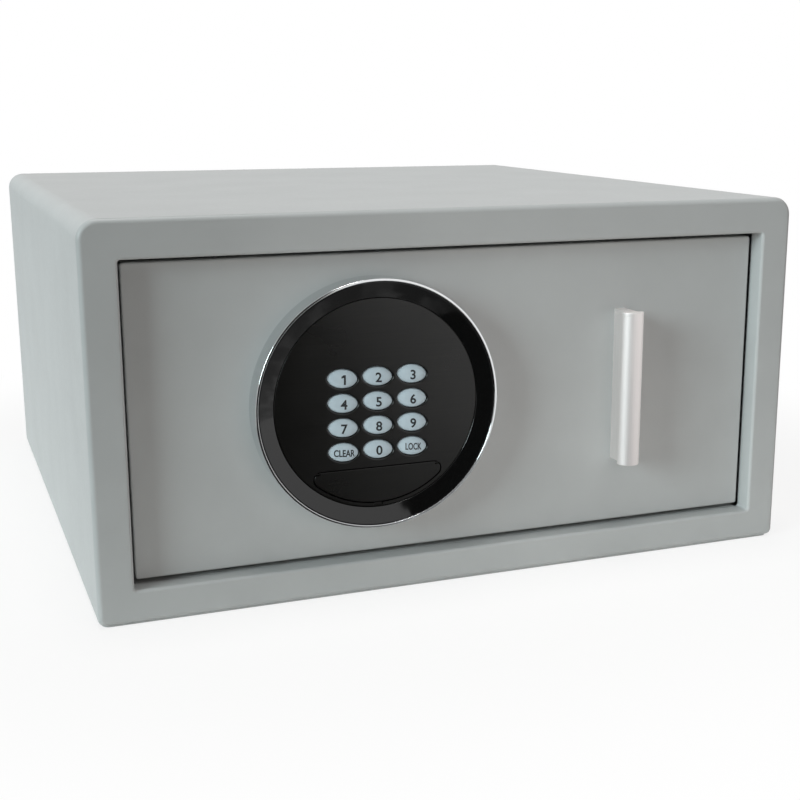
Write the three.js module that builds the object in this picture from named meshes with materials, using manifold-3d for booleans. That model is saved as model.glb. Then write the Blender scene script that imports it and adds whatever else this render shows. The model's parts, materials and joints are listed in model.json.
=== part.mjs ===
// Under-desk drawer safe: a folded steel cabinet with a drawer on telescopic runners,
// a round keypad, a pull handle, and motor-driven bolts behind the drawer front.
// Millimetres, +Z up, +X to the right seen from the front, and the front faces -Y.
// The origin is the centre of the underside.

import * as THREE from "three";
import { mergeVertices } from "three/addons/utils/BufferGeometryUtils.js";
import Module from "manifold-3d";

const wasm = await Module();
wasm.setup();

// Cabinet
const cabinetWidth = 430;
const cabinetDepth = 426;
const cabinetSheet = 2;
const topCornerRadius = 11;
const bottomCornerRadius = 2.5;
const frontFoldRadius = 3;
const sideRail = 20;
const topRail = 21.4;
const bottomRail = 19.5;
const mouthReturn = 12;
const mouthFoldRadius = 1.8;
const mouthCornerRadius = 2.4;
const basePlateThickness = 3;
const skirtGap = 1;
const rearPlateThickness = 2;
const fixingHoleRadius = 5;
const fixingHoleInsetX = 65;
const fixingHoleInsetY = 83;
const rearHoleInset = 115;
const rearHoleDrop = 69;
const bufferRadius = 8;
const bufferLength = 15;
const bufferInset = 63;
const bufferRise = 60;

// Clearances
const seatGap = 0.3;
const overrun = 5;

// Drawer front and tray
const panelRecess = 10;
const panelThickness = 3;
const panelSideGap = 2.2;
const panelEndGap = 2.6;
const panelCornerRadius = 3;
const panelEdgeRadius = 1.2;
const rimDepth = 30;
const rimSheet = 2;
const traySheet = 1.5;
const trayWallHeight = 120;
const trayFloorRise = 7.9;
const matThickness = 3;
const matMargin = 1;

// Telescopic runners
const runnerRearRoom = 29.5;
const runnerHeight = 45;
const runnerThickness = 12.7;
const runnerGauge = 1.5;
const runnerClearance = 1.9;
const runnerLift = 45;
const runnerSetback = 3;
const bracketGauge = 2;
const ballTrack = 4;
const cageGauge = 0.5;
const cageStrip = 0.8;
const cageReach = 8;
const cageLength = 75;
const cageMargin = 4.5;
const ballInset = 5.2;
const ballsPerRow = 4;

// Bolts, rack and pinion
const boltRadius = 7;
const boltInset = 52.8;
const boltDepth = 14;
const boltThrow = 14;
const boltTipSink = 0.5;
const boltChamfer = 1.5;
const keeperGauge = 3;
const keeperReach = 26;
const keeperClearance = 1;
const barThickness = 4;
const barHeight = 12;
const barOverhang = 10;
const barEdgeRoom = 2.9;
const gearModule = 1.25;
const gearTeeth = 12;
const gearBacklash = 0.3;
const gearAddendum = 1.0;
const gearDedendum = 1.45;
const rackAddendum = 0.85;
const rackDedendum = 1.3;
const rackArmWidth = 10;
const rackReach = 8;
const pinionWidth = 5;
const pinionOffset = 76.2;
const shaftRadius = 2.5;

// Lock chassis, motor and cover
const chassisHalf = 45;
const chassisThickness = 2;
const chassisStandoff = 20;
const chassisLegRadius = 4;
const chassisLegInset = 7;
const gearboxHalf = 15;
const gearboxLength = 14;
const motorRadius = 12;
const motorLength = 24;
const coverReachLeft = 68.8;
const coverReachRight = 50;
const coverMargin = 15;
const coverDepth = 36.5;
const coverWall = 2.5;
const coverCornerRadius = 6;
const cellRadius = 7.1;
const cellLength = 50;
const cellPitch = 15;
const cellCount = 4;
const cellBlockOffset = 25.8;
const cellNubRadius = 2.5;
const cellNubLength = 1;
const contactThickness = 0.8;
const resetRadius = 3;
const resetInset = 28.9;
const resetProud = 1.5;
const resetTravel = 1.5;

// Keypad
const keypadInset = 136.6;
const ringMarginBelow = 18.25;
const ringMarginAbove = 12.65;
const ringWall = 1.5;
const ringHeight = 15;
const ringLip = 0.3;
const fasciaWidth = 9.2;
const plateSink = 4.5;
const plateThickness = 2.5;
const housingFloor = 2;
const housingWall = 11.3;
const boardThickness = 1.6;
const boardStandoff = 1.1;
const membraneThickness = 1;
const keyHalfWidth = 8.8;
const keyHalfHeight = 5.45;
const keyPitchX = 20.45;
const keyPitchZ = 14;
const keyTopRow = 15.7;
const keyNames = [
  ["key_1", "key_2", "key_3"],
  ["key_4", "key_5", "key_6"],
  ["key_7", "key_8", "key_9"],
  ["key_clear", "key_0", "key_lock"],
];
const keyProud = 0.4;
const keyGap = 0.45;
const keyFlange = 1;
const keyFlangeThickness = 0.8;

// Flap and the lock behind it
const keyFlapGap = 5.15;
const flapHeight = 20.1;
const flapMargin = 3;
const flapCornerRadius = 4;
const flapThickness = 2;
const flapGap = 0.35;
const flapHingeInset = 0.7;
const trunnionRadius = 0.4;
const trunnionLength = 1.6;
const trunnionPlay = 0.1;
const notchWidth = 5;
const notchHeight = 2.2;
const notchDepth = 1;
const cylinderDrop = 9.9;
const cylinderRadius = 7;
const cylinderFlangeRadius = 8;
const cylinderFlangeThickness = 1.5;
const cylinderSink = 4;
const cylinderLength = 23.5;
const plugRadius = 4.5;
const keywayWidth = 1.2;
const keywayHeight = 6;
const keywayDepth = 15;
const camThickness = 2;
const camLength = 16;
const camHalfWidth = 4;
const nutRadius = 11;
const nutThickness = 3;
const socketOffsetX = 21;
const socketRise = 2;
const socketRadius = 4;
const socketBore = 1.6;
const leadRadius = 2;
const leadLift = 17;
const leadBow = 4;
const leadHoleGap = 1.5;

// Handle
const handleInset = 90.8;
const handleLength = 93;
const handleProud = 22;
const handleBarRadius = 7;
const handleWebHalf = 3.5;
const handleFillet = 1.4;
const handleScrewInset = 15.5;
const screwRadius = 2;
const screwHeadRadius = 4;
const screwHeadThickness = 3;
const screwEngagement = 8;

// Facets
const arcSteps = 6;
const foldSteps = 3;
const ringSteps = 64;
const ballSteps = 6;
const leadSteps = 16;
const leadSides = 4;
const holeSteps = 24;
const ovalSteps = 16;
const flankSteps = 2;
const weldTolerance = 1e-4;

// Keypad radii, from the keys and the flap outwards
const keyBlockDrop = keyPitchZ * (keyNames.length - 1) + keyHalfHeight - keyTopRow;
const flapChord = keyBlockDrop + keyFlapGap;
const flapArcRadius = flapChord + flapHeight;
const plateRadius = flapArcRadius + flapMargin;
const housingRadius = plateRadius + fasciaWidth;
const ringRadius = housingRadius + seatGap + ringWall;

// Places worked out from the sizes above
const panelHeight = ringMarginBelow + 2 * ringRadius + ringMarginAbove;
const cabinetHeight = bottomRail + panelEndGap + panelHeight + panelEndGap + topRail;
const frontY = -cabinetDepth / 2;
const rearY = cabinetDepth / 2;
const sideX = cabinetWidth / 2 - cabinetSheet;
const mouthHalf = cabinetWidth / 2 - sideRail;
const mouthLow = bottomRail;
const mouthHigh = cabinetHeight - topRail;
const panelHalf = mouthHalf - panelSideGap;
const panelLow = mouthLow + panelEndGap;
const panelHigh = mouthHigh - panelEndGap;
const panelMid = (panelLow + panelHigh) / 2;
const panelFaceY = frontY + panelRecess;
const panelBackY = panelFaceY + panelThickness;
const rimBackY = panelFaceY + rimDepth;
const boltY = panelFaceY + boltDepth;
const mouthReturnY = frontY + mouthReturn;
const trayFrontY = rimBackY + traySheet;
const trayLow = panelLow + trayFloorRise;
const fixingHoleX = cabinetWidth / 2 - fixingHoleInsetX;
const fixingHoleY = cabinetDepth / 2 - fixingHoleInsetY;
const rearHoleX = cabinetWidth / 2 - rearHoleInset;
const rearHoleZ = cabinetHeight - rearHoleDrop;
const bufferZ = trayLow + bufferRise;
const runnerFrontY = trayFrontY + runnerSetback;
const rearInnerY = rearY - rearPlateThickness;
const runnerBackY = rearInnerY - runnerRearRoom;
const runnerTravel = runnerBackY - runnerFrontY;
const runnerZ = trayLow + runnerLift;
const trayRearY = rearInnerY - bufferLength - seatGap;
const middleWebU = runnerGauge + cageGauge + 2 * seatGap;
const mountX = mouthHalf - runnerClearance + middleWebU;
const trayHalf = mountX - runnerThickness;
const bufferX = trayHalf - bufferInset;
const boltX = panelHalf - boltInset;
const handleX = panelHalf - handleInset;
const keypadX = keypadInset - panelHalf;
const keypadZ = panelLow + ringMarginBelow + ringRadius;
const pinionX = keypadX + pinionOffset;
const pitchRadius = gearModule * gearTeeth / 2;
const ringRimY = panelFaceY - ringHeight;
const plateFaceY = ringRimY + plateSink;
const plateBackY = plateFaceY + plateThickness;
const housingFloorY = panelFaceY - housingFloor;
const boardBackY = housingFloorY - boardStandoff;
const boardFrontY = boardBackY - boardThickness;
const cylinderZ = keypadZ - flapChord - cylinderDrop;
const cylinderFaceY = plateFaceY + cylinderSink;
const cylinderBackY = cylinderFaceY + cylinderLength;
const camY = cylinderBackY + seatGap;
const leadZ = keypadZ + leadLift;
const chassisFrontY = panelBackY + chassisStandoff;
const chassisBackY = chassisFrontY + chassisThickness;
const coverBackY = trayFrontY + coverDepth;

// Finishes
function finish(color, roughness, metalness) {
  return new THREE.MeshStandardMaterial({ color, roughness, metalness });
}

const powderCoat = finish(0xb9c0bf, 0.55, 0.1);
const zincSteel = finish(0xa9adb0, 0.45, 0.9);
const brightSteel = finish(0xc4c7c9, 0.3, 1);
const chrome = finish(0xe6e8ea, 0.08, 1);
const glossBlack = finish(0x0c0c0d, 0.08, 0);
const satinBlack = finish(0x232423, 0.4, 0);
const keyPlastic = finish(0xc3cfd4, 0.35, 0);
const anodised = finish(0xd6d6d3, 0.35, 1);
const rubber = finish(0x1c1c1c, 0.85, 0);
const silicone = finish(0x8d9194, 0.7, 0);
const boardGreen = finish(0x1f5b38, 0.5, 0);
const felt = finish(0x2c2e31, 0.95, 0);
const brass = finish(0xb99a55, 0.35, 1);
const cellCover = finish(0x3b4a58, 0.4, 0.2);
const cageBlack = finish(0x2a2b2d, 0.6, 0);

// Solids from three.js geometry, for manifold-3d to cut and join

function signedVolume(points, faces) {
  const a = new THREE.Vector3();
  const b = new THREE.Vector3();
  const c = new THREE.Vector3();
  let sum = 0;
  for (let i = 0; i < faces.length; i += 3) {
    a.fromArray(points, 3 * faces[i]);
    b.fromArray(points, 3 * faces[i + 1]);
    c.fromArray(points, 3 * faces[i + 2]);
    sum += a.dot(b.cross(c));
  }
  return sum;
}

function solidOf(geometry) {
  geometry.deleteAttribute("normal");
  geometry.deleteAttribute("uv");
  const merged = mergeVertices(geometry, weldTolerance);
  const vertProperties = new Float32Array(merged.attributes.position.array);
  const index = merged.index.array;
  const faces = [];
  for (let i = 0; i < index.length; i += 3) {
    const [a, b, c] = [index[i], index[i + 1], index[i + 2]];
    if (a !== b && b !== c && c !== a) faces.push(a, b, c);
  }
  if (signedVolume(vertProperties, faces) < 0) faces.reverse();
  return new wasm.Manifold(new wasm.Mesh({ numProp: 3, vertProperties, triVerts: new Uint32Array(faces) }));
}

function piece(name, solid, material) {
  const { vertProperties, triVerts } = solid.getMesh();
  const geometry = new THREE.BufferGeometry();
  geometry.setAttribute("position", new THREE.BufferAttribute(vertProperties, 3));
  geometry.setIndex(new THREE.BufferAttribute(triVerts, 1));
  geometry.computeVertexNormals();
  const mesh = new THREE.Mesh(geometry, material);
  mesh.name = name;
  return mesh;
}

const joined = (solids) => solids.reduce((all, next) => all.add(next));
const cut = (solid, cutters) => cutters.reduce((left, next) => left.subtract(next), solid);

// Box between two corners, given in any order
function block(x0, x1, y0, y1, z0, z1) {
  const box = new THREE.BoxGeometry(Math.abs(x1 - x0), Math.abs(y1 - y0), Math.abs(z1 - z0));
  box.translate((x0 + x1) / 2, (y0 + y1) / 2, (z0 + z1) / 2);
  return solidOf(box);
}

function rodAlongY(x, z, radius, y0, y1, steps = holeSteps) {
  const rod = new THREE.CylinderGeometry(radius, radius, y1 - y0, steps);
  rod.translate(x, (y0 + y1) / 2, z);
  return solidOf(rod);
}

function rodAlongZ(x, y, radius, z0, z1, steps = holeSteps, tipRadius = radius) {
  const rod = new THREE.CylinderGeometry(tipRadius, radius, z1 - z0, steps);
  rod.rotateX(Math.PI / 2);
  rod.translate(x, y, (z0 + z1) / 2);
  return solidOf(rod);
}

function rodAlongX(y, z, radius, x0, x1, steps = holeSteps) {
  const rod = new THREE.CylinderGeometry(radius, radius, Math.abs(x1 - x0), steps);
  rod.rotateZ(Math.PI / 2);
  rod.translate((x0 + x1) / 2, y, z);
  return solidOf(rod);
}

// Profile of [radius, y] points, closed on itself, turned about a line along Y
function turned(profile, x, z, steps = ringSteps) {
  const points = profile.map(([radius, y]) => new THREE.Vector2(radius, y));
  points.push(points[0].clone());
  const lathe = new THREE.LatheGeometry(points, steps);
  lathe.translate(x, 0, z);
  return solidOf(lathe);
}

// Shape drawn in (x, z), filled from y0 back to y1
function plateAcross(shape, y0, y1, curveSegments = arcSteps) {
  const plate = new THREE.ExtrudeGeometry(shape, { depth: y1 - y0, bevelEnabled: false, curveSegments });
  plate.rotateX(Math.PI / 2);
  plate.translate(0, y1, 0);
  return solidOf(plate);
}

// Shape drawn in (x, y), filled from z0 up to z1
function plateFlat(shape, z0, z1, curveSegments = arcSteps) {
  const plate = new THREE.ExtrudeGeometry(shape, { depth: z1 - z0, bevelEnabled: false, curveSegments });
  plate.translate(0, 0, z0);
  return solidOf(plate);
}

// Skin over outlines of equally many points, each convex, with both ends filled
function loft(sections) {
  const count = sections[0].length;
  const positions = sections.flat().flatMap((point) => point.toArray());
  const faces = [];
  for (let s = 0; s + 1 < sections.length; s += 1) {
    for (let i = 0; i < count; i += 1) {
      const a = s * count + i;
      const b = s * count + (i + 1) % count;
      faces.push(a, b, b + count, a, b + count, a + count);
    }
  }
  const fillEnd = (section, first, flip) => {
    const middle = new THREE.Vector3();
    for (const point of section) middle.add(point);
    const hub = positions.length / 3;
    positions.push(...middle.divideScalar(count).toArray());
    for (let i = 0; i < count; i += 1) {
      const a = first + i;
      const b = first + (i + 1) % count;
      faces.push(...(flip ? [hub, b, a] : [hub, a, b]));
    }
  };
  fillEnd(sections[0], 0, true);
  fillEnd(sections.at(-1), (sections.length - 1) * count, false);
  const geometry = new THREE.BufferGeometry();
  geometry.setAttribute("position", new THREE.Float32BufferAttribute(positions, 3));
  geometry.setIndex(faces);
  return solidOf(geometry);
}

// Rectangle with rounded corners, drawn in at distance y, smaller by an inset all round
function roundedSection(area, lowRadius, highRadius, inset, y) {
  const left = area.left + inset;
  const right = area.right - inset;
  const low = area.low + inset;
  const high = area.high - inset;
  const lowArc = Math.max(lowRadius - inset, seatGap);
  const highArc = Math.max(highRadius - inset, seatGap);
  const corners = [
    [right - lowArc, low + lowArc, lowArc, -Math.PI / 2],
    [right - highArc, high - highArc, highArc, 0],
    [left + highArc, high - highArc, highArc, Math.PI / 2],
    [left + lowArc, low + lowArc, lowArc, Math.PI],
  ];
  const points = [];
  for (const [x, z, radius, start] of corners) {
    for (let i = 0; i <= arcSteps; i += 1) {
      const angle = start + (Math.PI / 2) * i / arcSteps;
      points.push(new THREE.Vector3(x + radius * Math.cos(angle), y, z + radius * Math.sin(angle)));
    }
  }
  return points;
}

// Box along Y whose front edge is rounded all round
function roundFronted(area, lowRadius, highRadius, edgeRadius, y0, y1) {
  const sections = [];
  for (let i = 0; i <= foldSteps; i += 1) {
    const angle = (Math.PI / 2) * i / foldSteps;
    const inset = edgeRadius * (1 - Math.sin(angle));
    const y = y0 + edgeRadius * (1 - Math.cos(angle));
    sections.push(roundedSection(area, lowRadius, highRadius, inset, y));
  }
  sections.push(roundedSection(area, lowRadius, highRadius, 0, y1));
  return loft(sections);
}

// Cabinet

function mouthCutter() {
  const mouth = { left: -mouthHalf, right: mouthHalf, low: mouthLow, high: mouthHigh };
  const sectionAt = (inset, y) => roundedSection(mouth, mouthCornerRadius, mouthCornerRadius, inset, y);
  const sections = [sectionAt(-mouthFoldRadius, frontY - overrun)];
  for (let i = 0; i <= foldSteps; i += 1) {
    const angle = (Math.PI / 2) * i / foldSteps;
    const inset = -mouthFoldRadius * (1 - Math.sin(angle));
    sections.push(sectionAt(inset, frontY + mouthFoldRadius * (1 - Math.cos(angle))));
  }
  sections.push(sectionAt(0, mouthReturnY + overrun));
  return loft(sections);
}

function cabinetShell() {
  const outside = {
    left: -cabinetWidth / 2, right: cabinetWidth / 2, low: skirtGap, high: cabinetHeight,
  };
  const inside = { left: -sideX, right: sideX, low: skirtGap - overrun, high: cabinetHeight - cabinetSheet };
  const innerCorner = topCornerRadius - cabinetSheet;
  const returnArea = {
    left: -mouthHalf - cabinetSheet, right: mouthHalf + cabinetSheet,
    low: mouthLow - cabinetSheet, high: mouthHigh + cabinetSheet,
  };
  const returnCorner = mouthCornerRadius + cabinetSheet;
  const body = roundFronted(outside, bottomCornerRadius, topCornerRadius, frontFoldRadius, frontY, rearY);
  const innerFold = frontFoldRadius - cabinetSheet;
  const hollow = roundFronted(
    inside, bottomCornerRadius, innerCorner, innerFold, frontY + cabinetSheet, rearY + overrun,
  );
  const returns = loft([
    roundedSection(returnArea, returnCorner, returnCorner, 0, frontY + cabinetSheet / 2),
    roundedSection(returnArea, returnCorner, returnCorner, 0, mouthReturnY),
  ]);
  return piece("cabinet_shell", body.subtract(hollow).add(returns).subtract(mouthCutter()), powderCoat);
}

function basePlate() {
  const half = sideX - seatGap;
  const plate = block(-half, half, frontY + cabinetSheet + seatGap, rearY, 0, basePlateThickness);
  const holes = [];
  for (const x of [-fixingHoleX, fixingHoleX]) {
    for (const y of [-fixingHoleY, fixingHoleY]) {
      holes.push(rodAlongZ(x, y, fixingHoleRadius, -overrun, basePlateThickness + overrun));
    }
  }
  return piece("base_plate", cut(plate, holes), powderCoat);
}

function rearPlate() {
  const area = {
    left: -sideX + seatGap, right: sideX - seatGap,
    low: basePlateThickness + seatGap, high: cabinetHeight - cabinetSheet - seatGap,
  };
  const corner = topCornerRadius - cabinetSheet - seatGap;
  const plate = loft([
    roundedSection(area, bottomCornerRadius, corner, 0, rearInnerY),
    roundedSection(area, bottomCornerRadius, corner, 0, rearY),
  ]);
  const holes = [-rearHoleX, rearHoleX].map(
    (x) => rodAlongY(x, rearHoleZ, fixingHoleRadius, rearInnerY - overrun, rearY + overrun),
  );
  return piece("rear_plate", cut(plate, holes), powderCoat);
}

// Angle that carries the mouth's return on; its shelf is pierced for the bolts.
// way is 1 above the mouth and -1 below it
function keeper(name, way, mouthEdge, wallFace) {
  const backY = mouthReturnY + keeperReach;
  const half = panelHalf;
  const shelf = block(-half, half, mouthReturnY, backY, mouthEdge, mouthEdge + way * keeperGauge);
  const leg = block(-half, half, backY - keeperGauge, backY, mouthEdge, wallFace);
  const low = Math.min(mouthEdge, wallFace) - overrun;
  const high = Math.max(mouthEdge, wallFace) + overrun;
  const holes = [-boltX, boltX].map((x) => rodAlongZ(x, boltY, boltRadius + keeperClearance, low, high));
  return piece(name, cut(shelf.add(leg), holes), powderCoat);
}

function rearBuffer(name, side) {
  const y0 = rearInnerY - bufferLength;
  return piece(name, rodAlongY(side * bufferX, bufferZ, bufferRadius, y0, rearInnerY), rubber);
}

// Runners. u is measured from the face that a runner is screwed by, towards the drawer

const runnerX = (side, u) => side * (mountX - u);

// Channel along Y: a web from u = back to u = inner, and a flange above and below it out to u = tip
function channel(side, { back, inner, tip }, half, gauge, y0, y1) {
  const point = (u, z) => new THREE.Vector2(runnerX(side, u), runnerZ + z);
  const shape = new THREE.Shape([
    point(back, -half), point(tip, -half), point(tip, gauge - half), point(inner, gauge - half),
    point(inner, half - gauge), point(tip, half - gauge), point(tip, half), point(back, half),
  ]);
  return plateAcross(shape, y0, y1);
}

const outerHalf = runnerHeight / 2;
const middleHalf = outerHalf - runnerGauge - ballTrack;
const innerHalf = middleHalf - runnerGauge - ballTrack;
const innerCageU = middleWebU + runnerGauge + seatGap;
const innerFlangeU = innerCageU + cageGauge + seatGap;

function runnerBracket(name, side) {
  const section = { back: 0, inner: -bracketGauge, tip: mountX - sideX };
  return piece(name, channel(side, section, outerHalf, bracketGauge, runnerFrontY, runnerBackY), zincSteel);
}

function runnerOuter(name, side) {
  const section = { back: 0, inner: runnerGauge, tip: runnerThickness - runnerGauge };
  return piece(name, channel(side, section, outerHalf, runnerGauge, runnerFrontY, runnerBackY), brightSteel);
}

function runnerMiddle(name, side) {
  const tip = runnerThickness - runnerGauge;
  const section = { back: middleWebU, inner: middleWebU + runnerGauge, tip };
  return piece(name, channel(side, section, middleHalf, runnerGauge, runnerFrontY, runnerBackY), brightSteel);
}

function runnerInner(name, side) {
  const section = { back: runnerThickness, inner: runnerThickness - runnerGauge, tip: innerFlangeU };
  return piece(name, channel(side, section, innerHalf, runnerGauge, runnerFrontY, runnerBackY), brightSteel);
}

// Strip cage with its balls, which run between two members; trackHalf is the height of the ball row
function ballCage(name, side, webU, trackHalf) {
  const y0 = runnerFrontY + runnerTravel / 4 + cageMargin;
  const half = trackHalf + cageStrip / 2;
  const section = { back: webU, inner: webU + cageGauge, tip: webU + cageReach };
  const cage = channel(side, section, half, cageStrip, y0, y0 + cageLength);
  const balls = [];
  const spacing = cageLength / ballsPerRow;
  for (let i = 0; i < ballsPerRow; i += 1) {
    for (const row of [-1, 1]) {
      const ball = new THREE.SphereGeometry(ballTrack / 2 - seatGap, ballSteps, ballSteps - 2);
      ball.translate(runnerX(side, webU + ballInset), y0 + spacing * (i + 1 / 2), runnerZ + row * trackHalf);
      balls.push(solidOf(ball));
    }
  }
  return piece(name, cage.add(joined(balls)), cageBlack);
}

// Drawer

function drawerFront() {
  const area = { left: -panelHalf, right: panelHalf, low: panelLow, high: panelHigh };
  const hollow = {
    left: -panelHalf + rimSheet, right: panelHalf - rimSheet,
    low: panelLow + rimSheet, high: panelHigh - rimSheet,
  };
  const hollowCorner = panelCornerRadius - rimSheet;
  const pan = roundFronted(area, panelCornerRadius, panelCornerRadius, panelEdgeRadius, panelFaceY, rimBackY)
    .subtract(loft([
      roundedSection(hollow, hollowCorner, hollowCorner, 0, panelBackY),
      roundedSection(hollow, hollowCorner, hollowCorner, 0, rimBackY + overrun),
    ]));
  const low = panelFaceY - overrun;
  const high = panelBackY + overrun;
  const holes = [
    rodAlongY(keypadX, cylinderZ, cylinderRadius + seatGap, low, high),
    rodAlongY(keypadX, leadZ, leadRadius + leadHoleGap, low, high, ovalSteps),
  ];
  for (const z of handleScrewHeights()) {
    holes.push(rodAlongY(handleX, z, screwRadius + seatGap, low, high, ovalSteps));
  }
  for (const x of [-boltX, boltX]) {
    const radius = boltRadius + seatGap;
    holes.push(rodAlongZ(x, boltY, radius, panelHigh - rimSheet - overrun, panelHigh + overrun));
    holes.push(rodAlongZ(x, boltY, radius, panelLow - overrun, panelLow + rimSheet + overrun));
  }
  return piece("drawer_front", cut(pan, holes), powderCoat);
}

function drawerTray() {
  const high = trayLow + trayWallHeight;
  const wallHalf = panelHalf - rimSheet / 4;
  const box = block(-trayHalf, trayHalf, rimBackY, trayRearY, trayLow, high);
  const inner = trayHalf - traySheet;
  const hollow = block(-inner, inner, trayFrontY, trayRearY - traySheet, trayLow + traySheet, high + overrun);
  const wall = block(
    -wallHalf, wallHalf, rimBackY, trayFrontY, panelLow + rimSheet / 4, panelHigh - rimSheet / 4,
  );
  const motorRoom = gearboxHalf + seatGap;
  const holes = [
    block(
      pinionX - motorRoom, pinionX + motorRoom, rimBackY - overrun, trayFrontY + overrun,
      panelMid - motorRoom, panelMid + motorRoom,
    ),
    rodAlongY(keypadX, leadZ, leadRadius + leadHoleGap, rimBackY - overrun, trayFrontY + overrun, ovalSteps),
  ];
  return piece("drawer_tray", cut(box.subtract(hollow).add(wall), holes), powderCoat);
}

function trayMat() {
  const half = trayHalf - traySheet - matMargin;
  const z0 = trayLow + traySheet;
  const y1 = trayRearY - traySheet - matMargin;
  return piece("tray_mat", block(-half, half, coverBackY + matMargin, y1, z0, z0 + matThickness), felt);
}

// Handle

const handleLow = panelMid - handleLength / 2;
const handleHigh = panelMid + handleLength / 2;

function handleScrewHeights() {
  return [handleLow + handleScrewInset, handleHigh - handleScrewInset];
}

function handle() {
  const barY = panelFaceY - handleProud + handleBarRadius;
  const web = handleWebHalf;
  const shape = new THREE.Shape();
  shape.moveTo(handleX - web, panelFaceY);
  shape.lineTo(handleX - web, barY + handleFillet);
  shape.absarc(handleX - web - handleFillet, barY + handleFillet, handleFillet, 0, -Math.PI / 2, true);
  shape.lineTo(handleX - handleBarRadius, barY);
  shape.absarc(handleX, barY, handleBarRadius, Math.PI, 2 * Math.PI, false);
  shape.lineTo(handleX + web + handleFillet, barY);
  shape.absarc(handleX + web + handleFillet, barY + handleFillet, handleFillet, -Math.PI / 2, -Math.PI, true);
  shape.lineTo(handleX + web, panelFaceY);
  shape.closePath();
  const boreFrontY = panelFaceY - screwEngagement - seatGap;
  const bores = handleScrewHeights().map(
    (z) => rodAlongY(handleX, z, screwRadius + seatGap, boreFrontY, panelFaceY + overrun, ovalSteps),
  );
  return piece("handle", cut(plateFlat(shape, handleLow, handleHigh, 2 * arcSteps), bores), anodised);
}

function handleScrew(name, z) {
  const shank = rodAlongY(handleX, z, screwRadius, panelFaceY - screwEngagement, panelBackY, ovalSteps);
  const head = rodAlongY(handleX, z, screwHeadRadius, panelBackY, panelBackY + screwHeadThickness, ovalSteps);
  return piece(name, shank.add(head), zincSteel);
}

// Keypad

function bezelRing() {
  const inner = ringRadius - ringWall;
  const profile = [
    [inner, ringRimY + ringLip],
    [inner + ringLip, ringRimY],
    [ringRadius - ringLip, ringRimY],
    [ringRadius, ringRimY + ringLip],
    [ringRadius, panelFaceY],
    [inner, panelFaceY],
  ];
  return piece("bezel_ring", turned(profile, keypadX, keypadZ), chrome);
}

function fasciaRing() {
  const profile = [
    [housingRadius, ringRimY + ringLip],
    [plateRadius, plateFaceY],
    [plateRadius, plateBackY],
    [housingRadius, plateBackY],
  ];
  return piece("fascia_ring", turned(profile, keypadX, keypadZ), glossBlack);
}

function ovalSection(x, z, grow, y) {
  const points = [];
  for (let i = 0; i < ovalSteps; i += 1) {
    const angle = 2 * Math.PI * i / ovalSteps;
    const dx = (keyHalfWidth + grow) * Math.cos(angle);
    const dz = (keyHalfHeight + grow) * Math.sin(angle);
    points.push(new THREE.Vector3(x + dx, y, z + dz));
  }
  return points;
}

function keyPlaces() {
  return keyNames.flatMap((names, row) => names.map((name, column) => ({
    name,
    x: keypadX + keyPitchX * (column - 1),
    z: keypadZ + keyTopRow - keyPitchZ * row,
  })));
}

// Crescent below the keys: a straight top edge and an arc about the keypad's centre
function crescent(inset) {
  const corner = flapCornerRadius - inset;
  const cornerDrop = flapChord + flapCornerRadius;
  const cornerX = Math.sqrt((flapArcRadius - flapCornerRadius) ** 2 - cornerDrop ** 2);
  const lean = Math.atan2(cornerDrop, cornerX);
  const top = keypadZ - flapChord - inset;
  const shape = new THREE.Shape();
  shape.moveTo(keypadX - cornerX, top);
  shape.lineTo(keypadX + cornerX, top);
  shape.absarc(keypadX + cornerX, keypadZ - cornerDrop, corner, Math.PI / 2, -lean, true);
  shape.absarc(keypadX, keypadZ, flapArcRadius - inset, -lean, lean - Math.PI, true);
  shape.absarc(keypadX - cornerX, keypadZ - cornerDrop, corner, lean - Math.PI, -3 * Math.PI / 2, true);
  return { shape, cornerX };
}

const flapAxisY = plateFaceY + flapHingeInset;
const flapAxisZ = keypadZ - flapChord - flapHingeInset;

function trunnions(grow) {
  const { cornerX } = crescent(0);
  return [-1, 1].map((side) => rodAlongX(
    flapAxisY, flapAxisZ, trunnionRadius + grow,
    keypadX + side * cornerX, keypadX + side * (cornerX + flapCornerRadius + trunnionLength + grow),
    ovalSteps,
  ));
}

function keypadPlate() {
  const disc = rodAlongY(keypadX, keypadZ, plateRadius - seatGap, plateFaceY, plateBackY, ringSteps);
  const low = plateFaceY - overrun;
  const high = plateBackY + overrun;
  const holes = keyPlaces().map(({ x, z }) => loft([
    ovalSection(x, z, keyGap, low),
    ovalSection(x, z, keyGap, high),
  ]));
  holes.push(plateAcross(crescent(-flapGap).shape, low, high, 2 * arcSteps));
  const notchTop = keypadZ - flapArcRadius;
  holes.push(block(
    keypadX - notchWidth / 2, keypadX + notchWidth / 2,
    low, plateFaceY + notchDepth, notchTop - notchHeight, notchTop,
  ));
  return piece("keypad_plate", cut(disc, [...holes, ...trunnions(trunnionPlay)]), satinBlack);
}

// The top edge is rolled about the hinge line, and the corners are cut back to swing clear of the plate
function flap() {
  const { shape, cornerX } = crescent(0);
  const body = plateAcross(shape, plateFaceY, plateFaceY + flapThickness, 2 * arcSteps);
  const reach = flapArcRadius;
  const low = plateFaceY - overrun;
  const high = plateBackY + overrun;
  const roll = rodAlongX(flapAxisY, flapAxisZ, flapHingeInset, keypadX - reach, keypadX + reach, ovalSteps);
  const below = block(keypadX - reach, keypadX + reach, low, high, keypadZ - 2 * reach, flapAxisZ);
  const corners = [-1, 1].map((side) => block(
    keypadX + side * (cornerX + flapHingeInset), keypadX + side * reach, low, high,
    flapAxisZ - flapHingeInset - trunnionPlay, keypadZ,
  ));
  return piece("flap", joined([cut(body.intersect(roll.add(below)), corners), ...trunnions(0)]), satinBlack);
}

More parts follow.
